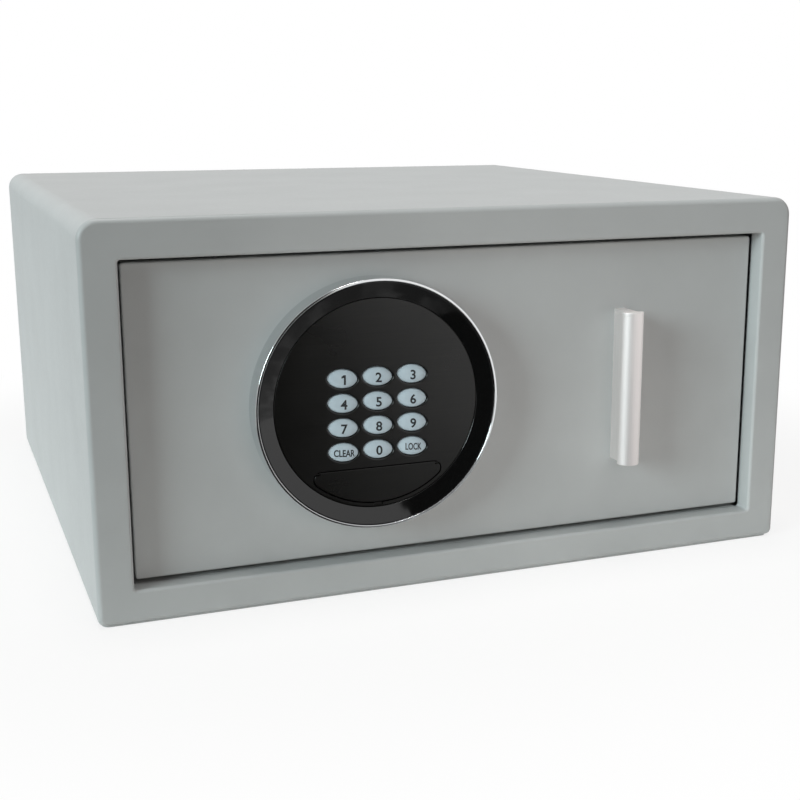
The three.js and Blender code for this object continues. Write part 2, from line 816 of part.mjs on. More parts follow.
function keypadHousing() {
  const inner = housingRadius - housingWall;
  const cup = turned([
    [0, housingFloorY],
    [inner, housingFloorY],
    [inner, plateBackY],
    [housingRadius, plateBackY],
    [housingRadius, panelFaceY],
    [0, panelFaceY],
  ], keypadX, keypadZ);
  const shelfZ = keypadZ - flapChord + flapGap;
  const divider = block(
    keypadX - flapArcRadius + flapCornerRadius * 2, keypadX + flapArcRadius - flapCornerRadius * 2,
    plateBackY, housingFloorY + housingFloor / 2, shelfZ, shelfZ + housingFloor,
  );
  const boss = rodAlongY(
    keypadX, cylinderZ, cylinderFlangeRadius + seatGap, cylinderFaceY + cylinderFlangeThickness, panelFaceY,
  );
  const posts = [];
  for (const side of [-1, 1]) {
    for (const rise of [0, 2 * keyPitchZ]) {
      const x = keypadX + side * keyPitchX * 2;
      const z = keypadZ - keyPitchZ + rise;
      posts.push(rodAlongY(x, z, screwHeadRadius, boardBackY, panelFaceY, ovalSteps));
    }
  }
  const low = plateFaceY - overrun;
  const high = panelFaceY + overrun;
  const holes = [
    rodAlongY(keypadX, cylinderZ, cylinderRadius + seatGap, low, high),
    rodAlongY(keypadX, leadZ, leadRadius + leadHoleGap, low, high, ovalSteps),
  ];
  return piece("keypad_housing", cut(joined([cup, divider, boss, ...posts]), holes), satinBlack);
}

function circuitBoard() {
  const radius = housingRadius - housingWall - seatGap;
  const low = keypadZ - flapChord + flapGap + housingFloor + seatGap;
  const disc = rodAlongY(keypadX, keypadZ, radius, boardFrontY, boardBackY, ringSteps);
  const keep = block(
    keypadX - radius, keypadX + radius,
    boardFrontY - overrun, boardBackY + overrun, low, keypadZ + radius + overrun,
  );
  return piece("circuit_board", disc.intersect(keep), boardGreen);
}

function keyMembrane() {
  const margin = keyFlange;
  const low = keypadZ - keyBlockDrop - margin;
  const area = {
    left: keypadX - keyPitchX - keyHalfWidth - margin, right: keypadX + keyPitchX + keyHalfWidth + margin,
    low, high: keypadZ + keyTopRow + keyHalfHeight + margin,
  };
  const sheetOf = (y) => roundedSection(area, flapCornerRadius, flapCornerRadius, 0, y);
  const solid = loft([sheetOf(boardFrontY - membraneThickness), sheetOf(boardFrontY)]);
  return piece("key_membrane", solid, silicone);
}

function keyButton({ name, x, z }) {
  const crownY = plateFaceY - keyProud;
  const flangeY = plateBackY + seatGap;
  return piece(name, loft([
    ovalSection(x, z, -keyHalfHeight / 2, crownY),
    ovalSection(x, z, -keyProud, crownY + keyProud / 2),
    ovalSection(x, z, 0, crownY + keyProud * 2),
    ovalSection(x, z, 0, flangeY),
    ovalSection(x, z, keyFlange, flangeY),
    ovalSection(x, z, keyFlange, flangeY + keyFlangeThickness),
  ]), keyPlastic);
}

function powerSocket() {
  const x = keypadX - socketOffsetX;
  const z = cylinderZ + socketRise;
  const depth = housingFloorY - cylinderFaceY;
  return piece("power_socket", turned([
    [0, cylinderFaceY + depth / 2],
    [socketBore, cylinderFaceY + depth / 2],
    [socketBore, cylinderFaceY],
    [socketRadius, cylinderFaceY],
    [socketRadius, housingFloorY],
    [0, housingFloorY],
  ], x, z, holeSteps), glossBlack);
}

function keyCylinder() {
  const bore = plugRadius + seatGap;
  const neckY = cylinderFaceY + cylinderFlangeThickness;
  return piece("key_cylinder", turned([
    [bore, cylinderFaceY],
    [cylinderFlangeRadius, cylinderFaceY],
    [cylinderFlangeRadius, neckY],
    [cylinderRadius, neckY],
    [cylinderRadius, cylinderBackY],
    [bore, cylinderBackY],
  ], keypadX, cylinderZ, holeSteps), brightSteel);
}

function cylinderNut() {
  const backY = panelBackY + nutThickness;
  const nut = rodAlongY(keypadX, cylinderZ, nutRadius, panelBackY, backY, arcSteps);
  const hole = rodAlongY(keypadX, cylinderZ, cylinderRadius + seatGap, panelBackY - overrun, backY + overrun);
  return piece("cylinder_nut", nut.subtract(hole), zincSteel);
}

function keyPlug() {
  const plug = rodAlongY(keypadX, cylinderZ, plugRadius, cylinderFaceY - seatGap, camY);
  const keyway = block(
    keypadX - keywayWidth / 2, keypadX + keywayWidth / 2,
    cylinderFaceY - overrun, cylinderFaceY + keywayDepth,
    cylinderZ - keywayHeight / 2, cylinderZ + keywayHeight / 2,
  );
  return piece("key_plug", plug.subtract(keyway), brass);
}

function keyCam() {
  const shape = new THREE.Shape();
  shape.absarc(keypadX, cylinderZ, camHalfWidth, Math.PI, 2 * Math.PI, false);
  shape.absarc(keypadX, cylinderZ + camLength, camHalfWidth, 0, Math.PI, false);
  return piece("key_cam", plateAcross(shape, camY, camY + camThickness), zincSteel);
}

// Bolts, racks and pinion

const involute = (angle) => Math.tan(angle) - angle;
const pressureAngle = Math.PI / 9;
const toothThickness = Math.PI * gearModule / 2 - gearBacklash / 2;
const gearFrontY = boltY - pinionWidth / 2;

function pinion() {
  const baseRadius = pitchRadius * Math.cos(pressureAngle);
  const tipRadius = pitchRadius + gearAddendum;
  const rootRadius = pitchRadius - gearDedendum;
  const halfAngle = (radius) => toothThickness / (2 * pitchRadius) + involute(pressureAngle)
    - involute(Math.acos(Math.min(baseRadius / radius, 1)));
  const flank = [[rootRadius, halfAngle(baseRadius)]];
  for (let i = 0; i <= flankSteps; i += 1) {
    const radius = baseRadius + (tipRadius - baseRadius) * i / flankSteps;
    flank.push([radius, halfAngle(radius)]);
  }
  const outline = [];
  for (let tooth = 0; tooth < gearTeeth; tooth += 1) {
    const centre = 2 * Math.PI * tooth / gearTeeth;
    const rising = flank.map(([radius, half]) => [radius, centre - half]);
    const falling = flank.toReversed().map(([radius, half]) => [radius, centre + half]);
    for (const [radius, angle] of [...rising, ...falling]) {
      const x = pinionX + radius * Math.cos(angle);
      outline.push(new THREE.Vector2(x, panelMid + radius * Math.sin(angle)));
    }
  }
  const gear = plateAcross(new THREE.Shape(outline), gearFrontY, gearFrontY + pinionWidth);
  const shaft = rodAlongY(pinionX, panelMid, shaftRadius, gearFrontY, chassisBackY - seatGap, ovalSteps);
  return piece("pinion", gear.add(shaft), brass);
}

// Toothed arm beside the pinion; side is -1 left of it and 1 right of it, and the arm runs from z0 to z1
function rackArm(side, z0, z1) {
  const pitch = Math.PI * gearModule;
  const pitchX = pinionX + side * pitchRadius;
  const rootX = pitchX + side * rackDedendum;
  const backX = rootX + side * rackArmWidth;
  const y0 = boltY - barThickness / 2;
  const y1 = boltY + barThickness / 2;
  const slope = Math.tan(pressureAngle);
  const tipHalf = toothThickness / 2 - rackAddendum * slope;
  const rootHalf = toothThickness / 2 + rackDedendum * slope;
  const teeth = [];
  const first = Math.ceil((z0 - panelMid + rootHalf) / pitch - 1 / 2);
  for (let i = first; panelMid + (i + 1 / 2) * pitch + rootHalf <= z1; i += 1) {
    const z = panelMid + (i + 1 / 2) * pitch;
    const shape = new THREE.Shape([
      new THREE.Vector2(rootX + side * rackDedendum, z - rootHalf),
      new THREE.Vector2(rootX, z - rootHalf),
      new THREE.Vector2(pitchX - side * rackAddendum, z - tipHalf),
      new THREE.Vector2(pitchX - side * rackAddendum, z + tipHalf),
      new THREE.Vector2(rootX, z + rootHalf),
      new THREE.Vector2(rootX + side * rackDedendum, z + rootHalf),
    ]);
    teeth.push(plateAcross(shape, y0, y1));
  }
  return { arm: block(rootX, backX, y0, y1, z0, z1), teeth };
}

const barHigh = panelHigh - rimSheet - barEdgeRoom - boltThrow;
const barLow = panelLow + rimSheet + barEdgeRoom + boltThrow - seatGap;

// way is 1 for the bar that throws upward and -1 for the one that throws downward
function boltBar(name, way, barEdge, tipZ) {
  const half = boltX + barOverhang;
  const inner = barEdge - way * barHeight;
  const bar = block(-half, half, boltY - barThickness / 2, boltY + barThickness / 2, inner, barEdge);
  const rackEnd = panelMid - way * (boltThrow + rackReach);
  const workingStart = panelMid + way * rackReach;
  const { arm } = rackArm(-way, Math.min(rackEnd, inner), Math.max(rackEnd, inner));
  const { teeth } = rackArm(-way, Math.min(rackEnd, workingStart), Math.max(rackEnd, workingStart));
  const bolts = [-boltX, boltX].flatMap((x) => {
    const shoulder = tipZ - way * boltChamfer;
    const shank = rodAlongZ(x, boltY, boltRadius, Math.min(inner, shoulder), Math.max(inner, shoulder));
    const lowRadius = way > 0 ? boltRadius : boltRadius - boltChamfer;
    const highRadius = way > 0 ? boltRadius - boltChamfer : boltRadius;
    const low = Math.min(shoulder, tipZ);
    return [shank, rodAlongZ(x, boltY, lowRadius, low, low + boltChamfer, holeSteps, highRadius)];
  });
  return piece(name, joined([bar, arm, ...teeth, ...bolts]), brightSteel);
}

// Lock chassis, motor, cover and cells

function lockChassis() {
  const plate = block(
    pinionX - chassisHalf, pinionX + chassisHalf, chassisFrontY, chassisBackY,
    panelMid - chassisHalf, panelMid + chassisHalf,
  );
  const reach = chassisHalf - chassisLegInset;
  const legs = [];
  for (const dx of [-reach, reach]) {
    for (const dz of [-reach, reach]) {
      const z = panelMid + dz;
      legs.push(rodAlongY(pinionX + dx, z, chassisLegRadius, panelBackY, chassisBackY, ovalSteps));
    }
  }
  const hole = rodAlongY(
    pinionX, panelMid, shaftRadius + seatGap, chassisFrontY - overrun, chassisBackY + overrun, ovalSteps,
  );
  return piece("lock_chassis", joined([plate, ...legs]).subtract(hole), zincSteel);
}

function gearMotor() {
  const boxBackY = chassisBackY + gearboxLength;
  const gearbox = block(
    pinionX - gearboxHalf, pinionX + gearboxHalf, chassisBackY, boxBackY,
    panelMid - gearboxHalf, panelMid + gearboxHalf,
  );
  const can = rodAlongY(pinionX, panelMid, motorRadius, boxBackY, boxBackY + motorLength);
  return piece("gear_motor", gearbox.add(can), zincSteel);
}

const coverLow = trayLow + coverMargin;
const coverHigh = panelHigh - coverMargin;
const coverLeft = keypadX - coverReachLeft;
const coverRight = pinionX + coverReachRight;
const cellBlockX = keypadX - cellBlockOffset;
const resetX = pinionX;
const resetZ = coverHigh - resetInset;
const cellRowHalf = cellPitch * cellCount / 2;
const pocketDepth = 2 * cellRadius + coverWall + 2 * seatGap;
const pocketFloorY = coverBackY - pocketDepth;
const pocketHalfX = cellRowHalf + seatGap;
const pocketHalfZ = cellLength / 2 + cellNubLength + contactThickness + 2 * seatGap;
const pocketRebate = 2;

function lockCover() {
  const area = { left: coverLeft, right: coverRight, low: coverLow, high: coverHigh };
  const corner = coverCornerRadius;
  const outside = loft([
    roundedSection(area, corner, corner, 0, trayFrontY),
    roundedSection(area, corner, corner, 0, coverBackY - coverWall),
    roundedSection(area, corner, corner, coverWall / 2, coverBackY),
  ]);
  const inside = loft([
    roundedSection(area, corner, corner, coverWall, trayFrontY - overrun),
    roundedSection(area, corner, corner, coverWall, coverBackY - coverWall),
  ]);
  const pocketAround = (grow, y0, y1) => block(
    cellBlockX - pocketHalfX - grow, cellBlockX + pocketHalfX + grow, y0, y1,
    panelMid - pocketHalfZ - grow, panelMid + pocketHalfZ + grow,
  );
  const pocketWalls = pocketAround(coverWall, pocketFloorY - coverWall, coverBackY - coverWall / 2);
  const pocket = pocketAround(0, pocketFloorY, coverBackY + overrun);
  const rebate = pocketAround(pocketRebate, coverBackY - coverWall + seatGap, coverBackY + overrun);
  const buttonHole = rodAlongY(
    resetX, resetZ, resetRadius + seatGap, coverBackY - 2 * coverWall, coverBackY + overrun, ovalSteps,
  );
  const solid = cut(outside.subtract(inside).add(pocketWalls), [pocket, rebate, buttonHole]);
  return piece("lock_cover", solid, satinBlack);
}

function batteryCover() {
  const grow = pocketRebate - seatGap;
  const plate = block(
    cellBlockX - pocketHalfX - grow, cellBlockX + pocketHalfX + grow,
    coverBackY - coverWall + seatGap, coverBackY,
    panelMid - pocketHalfZ - grow, panelMid + pocketHalfZ + grow,
  );
  const ridges = [0, 1, 2].map((i) => {
    const z = panelMid + pocketHalfZ - cellRadius - i * 2 * pocketRebate;
    return block(
      cellBlockX - cellPitch / 2, cellBlockX + cellPitch / 2, coverBackY - seatGap, coverBackY + seatGap,
      z, z + pocketRebate,
    );
  });
  return piece("battery_cover", joined([plate, ...ridges]), satinBlack);
}

// Four cells in a row, joined end to end in turn by their contact strips
function batteryCells() {
  const y = pocketFloorY + seatGap + cellRadius;
  const firstX = cellBlockX - cellPitch * (cellCount - 1) / 2;
  const stripZ = cellLength / 2 + cellNubLength;
  const solids = [];
  for (let i = 0; i < cellCount; i += 1) {
    const x = firstX + cellPitch * i;
    solids.push(
      rodAlongZ(x, y, cellRadius, panelMid - cellLength / 2, panelMid + cellLength / 2, ovalSteps),
    );
    solids.push(rodAlongZ(x, y, cellNubRadius, panelMid - stripZ, panelMid + stripZ, ovalSteps));
    const end = i % 2 === 0 ? 1 : -1;
    if (i + 1 < cellCount) {
      solids.push(block(
        x - cellNubRadius, x + cellPitch + cellNubRadius, y - cellNubRadius, y + cellNubRadius,
        panelMid + end * stripZ, panelMid + end * (stripZ + contactThickness),
      ));
    }
  }
  return piece("battery_cells", joined(solids), cellCover);
}

function resetButton() {
  const flangeBackY = coverBackY - coverWall - seatGap;
  const flangeY = flangeBackY - resetTravel;
  const stem = rodAlongY(resetX, resetZ, resetRadius, flangeY, coverBackY + resetProud, ovalSteps);
  const flange = rodAlongY(resetX, resetZ, resetRadius + keyFlange, flangeY, flangeBackY, ovalSteps);
  return piece("reset_button", stem.add(flange), rubber);
}

function keypadLead() {
  const startY = boardBackY + seatGap;
  const endY = pocketFloorY - coverWall - seatGap;
  const path = new THREE.CatmullRomCurve3([
    new THREE.Vector3(keypadX, startY, leadZ),
    new THREE.Vector3(keypadX, panelBackY + leadRadius, leadZ),
    new THREE.Vector3(keypadX + leadBow, (panelBackY + rimBackY) / 2, leadZ),
    new THREE.Vector3(keypadX, rimBackY - leadRadius, leadZ),
    new THREE.Vector3(keypadX, endY, leadZ),
  ]);
  const section = new THREE.Shape();
  section.absarc(0, 0, leadRadius, 0, 2 * Math.PI, false);
  const sweep = { steps: leadSteps, extrudePath: path, curveSegments: leadSides };
  return piece("keypad_lead", solidOf(new THREE.ExtrudeGeometry(section, sweep)), rubber);
}

const safe = new THREE.Group();
safe.add(
  cabinetShell(),
  basePlate(),
  rearPlate(),
  keeper("keeper_top", 1, mouthHigh, cabinetHeight - cabinetSheet),
  keeper("keeper_bottom", -1, mouthLow, basePlateThickness),
  drawerFront(),
  drawerTray(),
  trayMat(),
  handle(),
  bezelRing(),
  fasciaRing(),
  keypadPlate(),
  keypadHousing(),
  circuitBoard(),
  keyMembrane(),
  powerSocket(),
  keyCylinder(),
  cylinderNut(),
  keyPlug(),
  keyCam(),
  flap(),
  lockChassis(),
  gearMotor(),
  pinion(),
  boltBar("bolt_bar_top", 1, barHigh, panelHigh - boltTipSink),
  boltBar("bolt_bar_bottom", -1, barLow, panelLow + boltTipSink),
  lockCover(),
  batteryCells(),
  batteryCover(),
  resetButton(),
  keypadLead(),
);
for (const [label, side] of [["left", -1], ["right", 1]]) {
  safe.add(
    rearBuffer(`rear_buffer_${label}`, side),
    runnerBracket(`runner_bracket_${label}`, side),
    runnerOuter(`runner_outer_${label}`, side),
    runnerMiddle(`runner_middle_${label}`, side),
    runnerInner(`runner_inner_${label}`, side),
    ballCage(`cage_outer_${label}`, side, runnerGauge + seatGap, middleHalf + ballTrack / 2),
    ballCage(`cage_inner_${label}`, side, innerCageU, innerHalf + ballTrack / 2),
  );
}
const [lowerScrewZ, upperScrewZ] = handleScrewHeights();
safe.add(handleScrew("handle_screw_lower", lowerScrewZ), handleScrew("handle_screw_upper", upperScrewZ));
for (const place of keyPlaces()) safe.add(keyButton(place));

export default safe;
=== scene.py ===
"""Under-desk drawer safe: finished surfaces, studio and camera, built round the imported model.

Shapes are worked out in millimetres in the model's own frame: +X to the right seen from the front,
the front faces -Y, +Z up, and the origin is the centre of the underside.
"""

import json
import math

import bmesh
import bpy
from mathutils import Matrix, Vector

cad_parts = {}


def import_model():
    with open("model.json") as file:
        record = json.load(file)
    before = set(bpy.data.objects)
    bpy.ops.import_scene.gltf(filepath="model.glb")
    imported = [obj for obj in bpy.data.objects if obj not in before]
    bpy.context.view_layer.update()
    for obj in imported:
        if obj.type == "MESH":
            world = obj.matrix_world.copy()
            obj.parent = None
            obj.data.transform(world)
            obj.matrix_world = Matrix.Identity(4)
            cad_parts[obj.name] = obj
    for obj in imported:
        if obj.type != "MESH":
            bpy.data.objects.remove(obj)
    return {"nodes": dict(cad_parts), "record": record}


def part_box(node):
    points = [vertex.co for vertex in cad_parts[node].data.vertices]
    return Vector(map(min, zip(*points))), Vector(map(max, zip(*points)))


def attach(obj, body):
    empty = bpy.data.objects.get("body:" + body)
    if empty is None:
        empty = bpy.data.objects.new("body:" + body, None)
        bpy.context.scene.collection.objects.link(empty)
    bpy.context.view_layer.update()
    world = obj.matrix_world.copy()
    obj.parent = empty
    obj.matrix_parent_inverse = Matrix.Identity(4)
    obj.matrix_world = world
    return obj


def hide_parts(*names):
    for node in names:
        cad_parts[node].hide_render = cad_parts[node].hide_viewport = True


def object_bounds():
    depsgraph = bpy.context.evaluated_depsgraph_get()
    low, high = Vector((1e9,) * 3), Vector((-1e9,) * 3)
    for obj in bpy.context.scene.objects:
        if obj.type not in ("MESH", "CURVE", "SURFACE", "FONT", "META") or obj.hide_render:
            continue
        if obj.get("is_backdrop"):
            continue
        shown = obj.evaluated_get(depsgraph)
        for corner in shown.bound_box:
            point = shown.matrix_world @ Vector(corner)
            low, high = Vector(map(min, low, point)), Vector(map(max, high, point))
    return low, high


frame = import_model()
cad_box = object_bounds()

MM = 0.001
WELD = 0.001  # points nearer than this, in millimetres, become one

# Smoothness of round shapes
TURN_STEPS = 144
SMALL_TURN_STEPS = 48
CORNER_STEPS = 12
RIM_STEPS = 4
FOLD_STEPS = 8
FILLET_STEPS = 6
BAR_STEPS = 40
OVAL_STEPS = 72
CRESCENT_STEPS = 60
BALL_RINGS = 16
HEAD_ANGLES = range(0, 85, 12)
LETTER_STEPS = 6
SHARP_ANGLE = math.radians(35)

# Screw heads, as shares of the head's radius and rise
HEAD_RISE = 0.55
CROSS_LENGTH = 0.62
CROSS_WIDTH = 0.14
CROSS_FLOOR = 0.35


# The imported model's places, in millimetres

def span(node):
    """Lowest and highest corner of a CAD node."""
    low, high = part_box(node)
    return low / MM, high / MM


def middle(node):
    low, high = span(node)
    return (low + high) / 2


def half_width(node):
    """Half of a CAD node's size along X, which is a turned piece's radius."""
    low, high = span(node)
    return (high.x - low.x) / 2


def front_area(node):
    """Left, right, lowest and highest place of a CAD node as seen from the front."""
    low, high = span(node)
    return (low.x, high.x, low.z, high.z)


shell_low, shell_high = span("cabinet_shell")
pan_low, pan_high = span("drawer_front")
base_low, base_high = span("base_plate")
rear_low, rear_high = span("rear_plate")
tray_low, tray_high = span("drawer_tray")
mat_low, mat_high = span("tray_mat")
cover_low, cover_high = span("lock_cover")
door_low, door_high = span("battery_cover")
ring_low, ring_high = span("bezel_ring")
fascia_low, fascia_high = span("fascia_ring")
plate_low, plate_high = span("keypad_plate")
flap_low, flap_high = span("flap")
handle_low, handle_high = span("handle")
key_low, key_high = span("key_1")

FRONT_Y = shell_low.y
REAR_Y = shell_high.y
PANEL_Y = pan_low.y
PAD_X = middle("bezel_ring").x
PAD_Z = middle("bezel_ring").z
PLATE_Y = plate_low.y

# Cabinet
SHEET = 2.0
TOP_CORNER = 11.0
LOW_CORNER = 4.0
FRONT_FOLD = 3.0
MOUTH_FOLD = 1.8
MOUTH_CORNER = 1.6
MOUTH_RETURN = 12.0
PANEL_SIDE_GAP = 2.2
PANEL_END_GAP = 2.6
CUT_EDGE = 0.35
HOLE_RADIUS = 5.0
BASE_HOLE_X = 150.0
BASE_HOLE_Y = 130.0
REAR_HOLE_X = 100.0
REAR_HOLE_Z = 150.0
MOUTH = (
    pan_low.x - PANEL_SIDE_GAP, pan_high.x + PANEL_SIDE_GAP,
    pan_low.z - PANEL_END_GAP, pan_high.z + PANEL_END_GAP,
)

# Drawer
PANEL_THICK = 3.0
PANEL_CORNER = 1.8
PANEL_EDGE = 1.2
RIM_SHEET = 2.0
BOLT_X = 140.0
BOLT_RADIUS = 7.0
BOLT_Y = PANEL_Y + 14.0
BOLT_CHAMFER = 1.5
BOLT_SLEEVE = 18.0
BOLT_SKIN = 0.03
CUT_ROOM = 0.3
LEAST = 0.05  # smallest radius that a corner may have

# Tray; its folded side next to the front wall is thin, so that it lies inside that wall's sheet
TRAY_FRONT_SHARE = 0.2
TRAY_SHEET = 1.5
TRAY_WALL = 120.0
TRAY_FOLD = 2.0
TRAY_CORNER = 3.0
WALL_CORNER = 1.0
TRAY_HEM = 8.0
TRAY_HALF = span("runner_inner_right")[0].x
TRAY_FLOOR = mat_low.z - TRAY_SHEET
TRAY_BACK_OF_FRONT = tray_low.y + TRAY_SHEET
MAT_CORNER = 4.0
MAT_EDGE = 0.9

# Lock cover and battery cover
COVER_WALL = 2.5
COVER_CORNER = 6.0
COVER_EDGE = 2.0
DOOR_REBATE = 2.0
DOOR_CORNER = 1.5
DOOR_EDGE = 0.5
GRIP_RADIUS = 1.0
GRIP_RISE = 0.3
GRIP_LENGTH = 15.0
GRIP_PITCH = 4.0
GRIP_DROP = 7.0
GRIP_COUNT = 3
COVER_SCREW_INSET = 9.0
COVER_SCREW_RADIUS = 3.0
COVER_SCREW_WELL = 1.2

# Keepers, runners, cages and buffers
KEEPER_GAUGE = 3.0
KEEPER_FOLD = 4.0
KEEPER_ROOM = 1.0
RUNNER_GAUGE = 1.5
BRACKET_GAUGE = 2.0
MEMBER_FOLD = 2.2
BRACKET_FOLD = 3.2
MEMBER_TIP = 0.4
SLOT_PITCH = 64.0
SLOT = (2.2, 12.0)  # radius and length
WIDE_SLOT = (3.3, 24.0)
RUNNER_SCREW_Y = (-140.0, 5.0, 150.0)
RUNNER_SCREW_RADIUS = 3.6
CAGE_GAUGE = 0.5
CAGE_STRIP = 0.8
CAGE_FOLD = 1.2
BALL_RADIUS = 1.7
BALL_INSET = 5.2
BALLS_PER_ROW = 4
BUFFER_TAPER = 0.6
BUFFER_EDGE = 2.0
BUFFER_FOOT = 2.5
BUFFER_DIMPLE = 2.2
BUFFER_DIMPLE_DEPTH = 4.0

# Handle: a half-round bar on a web
BAR_RADIUS = 7.0
WEB_HALF = 3.5
WEB_FILLET = 1.4
HANDLE_EDGE = 0.4
CAP_DROP = 2.2
CAP_GROOVE = 0.25

# Keypad; its keys and their legends sink a little towards the right, as the photo's do
KEY_FLANGE = 1.0
KEY_TRIM_X = 0.1
KEY_TRIM_Z = 0.2
KEY_LEAN = 0.078
KEY_HALF_X = half_width("key_1") - KEY_FLANGE - KEY_TRIM_X
KEY_HALF_Z = (key_high.z - key_low.z) / 2 - KEY_FLANGE - KEY_TRIM_Z
KEY_GAP = 0.45
KEY_POINT = 1.1
KEY_RIM_SINK = 0.9
DOME_POWER = 3
DOME_SHARES = (0.04, 0.2, 0.4, 0.6, 0.75, 0.87, 0.95, 1.0)
KEY_CROWN = PLATE_Y - key_low.y
KEY_FLANGE_THICK = 0.8
PLATE_DISH = 0.8
PLATE_RIM = 0.4
RING_WALL = 1.5
RING_LIP = 0.38
BEVEL_RIM = 0.3
BEVEL_FOOT = 0.5
FLAP_CHORD = PAD_Z - flap_high.z
FLAP_ARC = PAD_Z - flap_low.z
FLAP_CORNER = 4.0
FLAP_CORNER_DROP = FLAP_CHORD + FLAP_CORNER
FLAP_CORNER_X = math.sqrt((FLAP_ARC - FLAP_CORNER) ** 2 - FLAP_CORNER_DROP ** 2)
FLAP_GAP = 0.7
FLAP_THICK = 2.0
FLAP_HINGE = 0.7
FLAP_EDGE = 0.3
FLAP_SWING_ROOM = 0.1
TRUNNION = 0.4
TRUNNION_REACH = 1.6
NOTCH_WIDTH = 5.0
NOTCH_HEIGHT = 2.2
NOTCH_DEPTH = 1.0
LEAD_HOLE = 3.5
SCREW_HOLE = 2.3

# Lock and power socket behind the flap
CYLINDER_BORE_ROOM = 0.3
CYLINDER_FLANGE_THICK = 1.5
SMALL_EDGE = 0.4
KEYWAY_WIDTH = 1.2
KEYWAY_HEIGHT = 6.0
KEYWAY_DEPTH = 15.0
WARD_WIDTH = 0.8
WARD_HEIGHT = 1.6
SOCKET_BORE = 1.6
SOCKET_PIN = 0.6
RESET_STEM = 3.0
RESET_FLANGE_THICK = 1.5

# Legends; their weight and the grid that bends them over the dome are in the lettering's own units, before
# it is scaled. At a weight of 0.02 the typeface's 9 breaks up.
DIGIT = {"height": 5.6, "width": None, "shift": (0.5, -0.5)}
DIGIT_STRETCH = 1.02
LEGEND_WEIGHT = 0.023
FLAG_REACH = 0.24
FLAG_DROP = 0.17
FLAG_ROOT = 1.3
WORDS = {
    "CLEAR": {"height": 4.1, "width": 12.3, "shift": (0.4, -0.4)},
    "LOCK": {"height": 4.1, "width": 9.8, "shift": (0.7, -0.2)},
}
INK = 0.03
LEGEND_GRID = 0.08


# Meshes

def across_y(u, v, w):
    return (u, w, v)


def along_z(u, v, w):
    return (u, v, w)


def along_x(u, v, w):
    return (w, u, v)


def placed(name, data):
    """Object in the scene that shows a mesh, a lamp, a camera or lettering."""
    made = bpy.data.objects.new(name, data)
    bpy.context.scene.collection.objects.link(made)
    return made


def shape_from(name, points, faces):
    """A mesh object from points in millimetres."""
    mesh = bpy.data.meshes.new(name)
    mesh.from_pydata([Vector(p) * MM for p in points], [], faces)
    work = bmesh.new()
    work.from_mesh(mesh)
    bpy.data.meshes.remove(mesh)
    return shape_of(name, work)


def shape_of(name, work):
    """A mesh object from a bmesh, welded, with its faces turned outwards."""
    bmesh.ops.remove_doubles(work, verts=work.verts, dist=WELD * MM)
    bmesh.ops.recalc_face_normals(work, faces=work.faces)
    mesh = bpy.data.meshes.new(name)
    work.to_mesh(mesh)
    work.free()
    return placed(name, mesh)


def loft(name, rings, wrap=False):
    """Skin over rings of equally many points, with both ends filled, or the last ring joined to the first."""
    count = len(rings[0])
    faces = []
    for r in range(len(rings) if wrap else len(rings) - 1):
        here = r * count
        there = (r + 1) % len(rings) * count
        for i in range(count):
            j = (i + 1) % count
            faces.append((here + i, here + j, there + j, there + i))
    if not wrap:
        faces.append(tuple(reversed(range(count))))
        faces.append(tuple(range((len(rings) - 1) * count, len(rings) * count)))
    return shape_from(name, [p for ring in rings for p in ring], faces)


def arc(cu, cv, radius, start, end, steps):
    """Points on an arc between two angles in degrees."""
    turns = [math.radians(start + (end - start) * i / steps) for i in range(steps + 1)]
    return [(cu + radius * math.cos(a), cv + radius * math.sin(a)) for a in turns]


def filleted(corners):
    """Closed outline through corners (u, v, radius), each rounded by its radius."""
    outline = []
    for i, (u, v, radius) in enumerate(corners):
        if not radius:
            outline.append((u, v))
            continue
        here = Vector((u, v))
        before = (Vector(corners[i - 1][:2]) - here).normalized()
        after = (Vector(corners[(i + 1) % len(corners)][:2]) - here).normalized()
        half = before.angle(after) / 2
        centre = here + (before + after).normalized() * radius / math.sin(half)
        start = here + before * radius / math.tan(half) - centre
        end = here + after * radius / math.tan(half) - centre
        first = math.atan2(start.y, start.x)
        turn = (math.atan2(end.y, end.x) - first + math.pi) % (2 * math.pi) - math.pi
        ends = (math.degrees(first), math.degrees(first + turn))
        outline += arc(centre.x, centre.y, radius, *ends, RIM_STEPS)
    return outline


def rounded(area, low_radius, high_radius):
    """Rectangle (left, right, low, high) with its own radius at the low and at the high corners."""
    left, right, low, high = area
    return (
        arc(right - low_radius, low + low_radius, low_radius, -90, 0, CORNER_STEPS)
        + arc(right - high_radius, high - high_radius, high_radius, 0, 90, CORNER_STEPS)
        + arc(left + high_radius, high - high_radius, high_radius, 90, 180, CORNER_STEPS)
        + arc(left + low_radius, low + low_radius, low_radius, 180, 270, CORNER_STEPS)
    )


def grown(area, amount):
    left, right, low, high = area
    return (left - amount, right + amount, low - amount, high + amount)


def rounded_rings(area, low_radius, high_radius, levels):
    """Such a rectangle as rings across Y, one for each level (growth all round, depth)."""
    rings = []
    for grow, depth in levels:
        corners = (max(low_radius + grow, LEAST), max(high_radius + grow, LEAST))
        rings.append([across_y(u, v, depth) for u, v in rounded(grown(area, grow), *corners)])
    return rings


def soft_rectangle(area, corner):
    """Outline of a rectangle with round corners as a function of its growth."""
    return lambda grow: rounded(grown(area, grow), corner + grow, corner + grow)


def circle(u, v, radius, steps=SMALL_TURN_STEPS):
    """Outline of a circle as a function of its growth."""
    return lambda grow: arc(u, v, radius + grow, 0, 360, steps)[:-1]


def quarter(steps=RIM_STEPS):
    """Shares (inwards, onwards) of a quarter round from the flat to the wall, each from 0 to 1."""
    angles = [math.pi / 2 * i / steps for i in range(steps + 1)]
    return [(1 - math.sin(a), 1 - math.cos(a)) for a in angles]


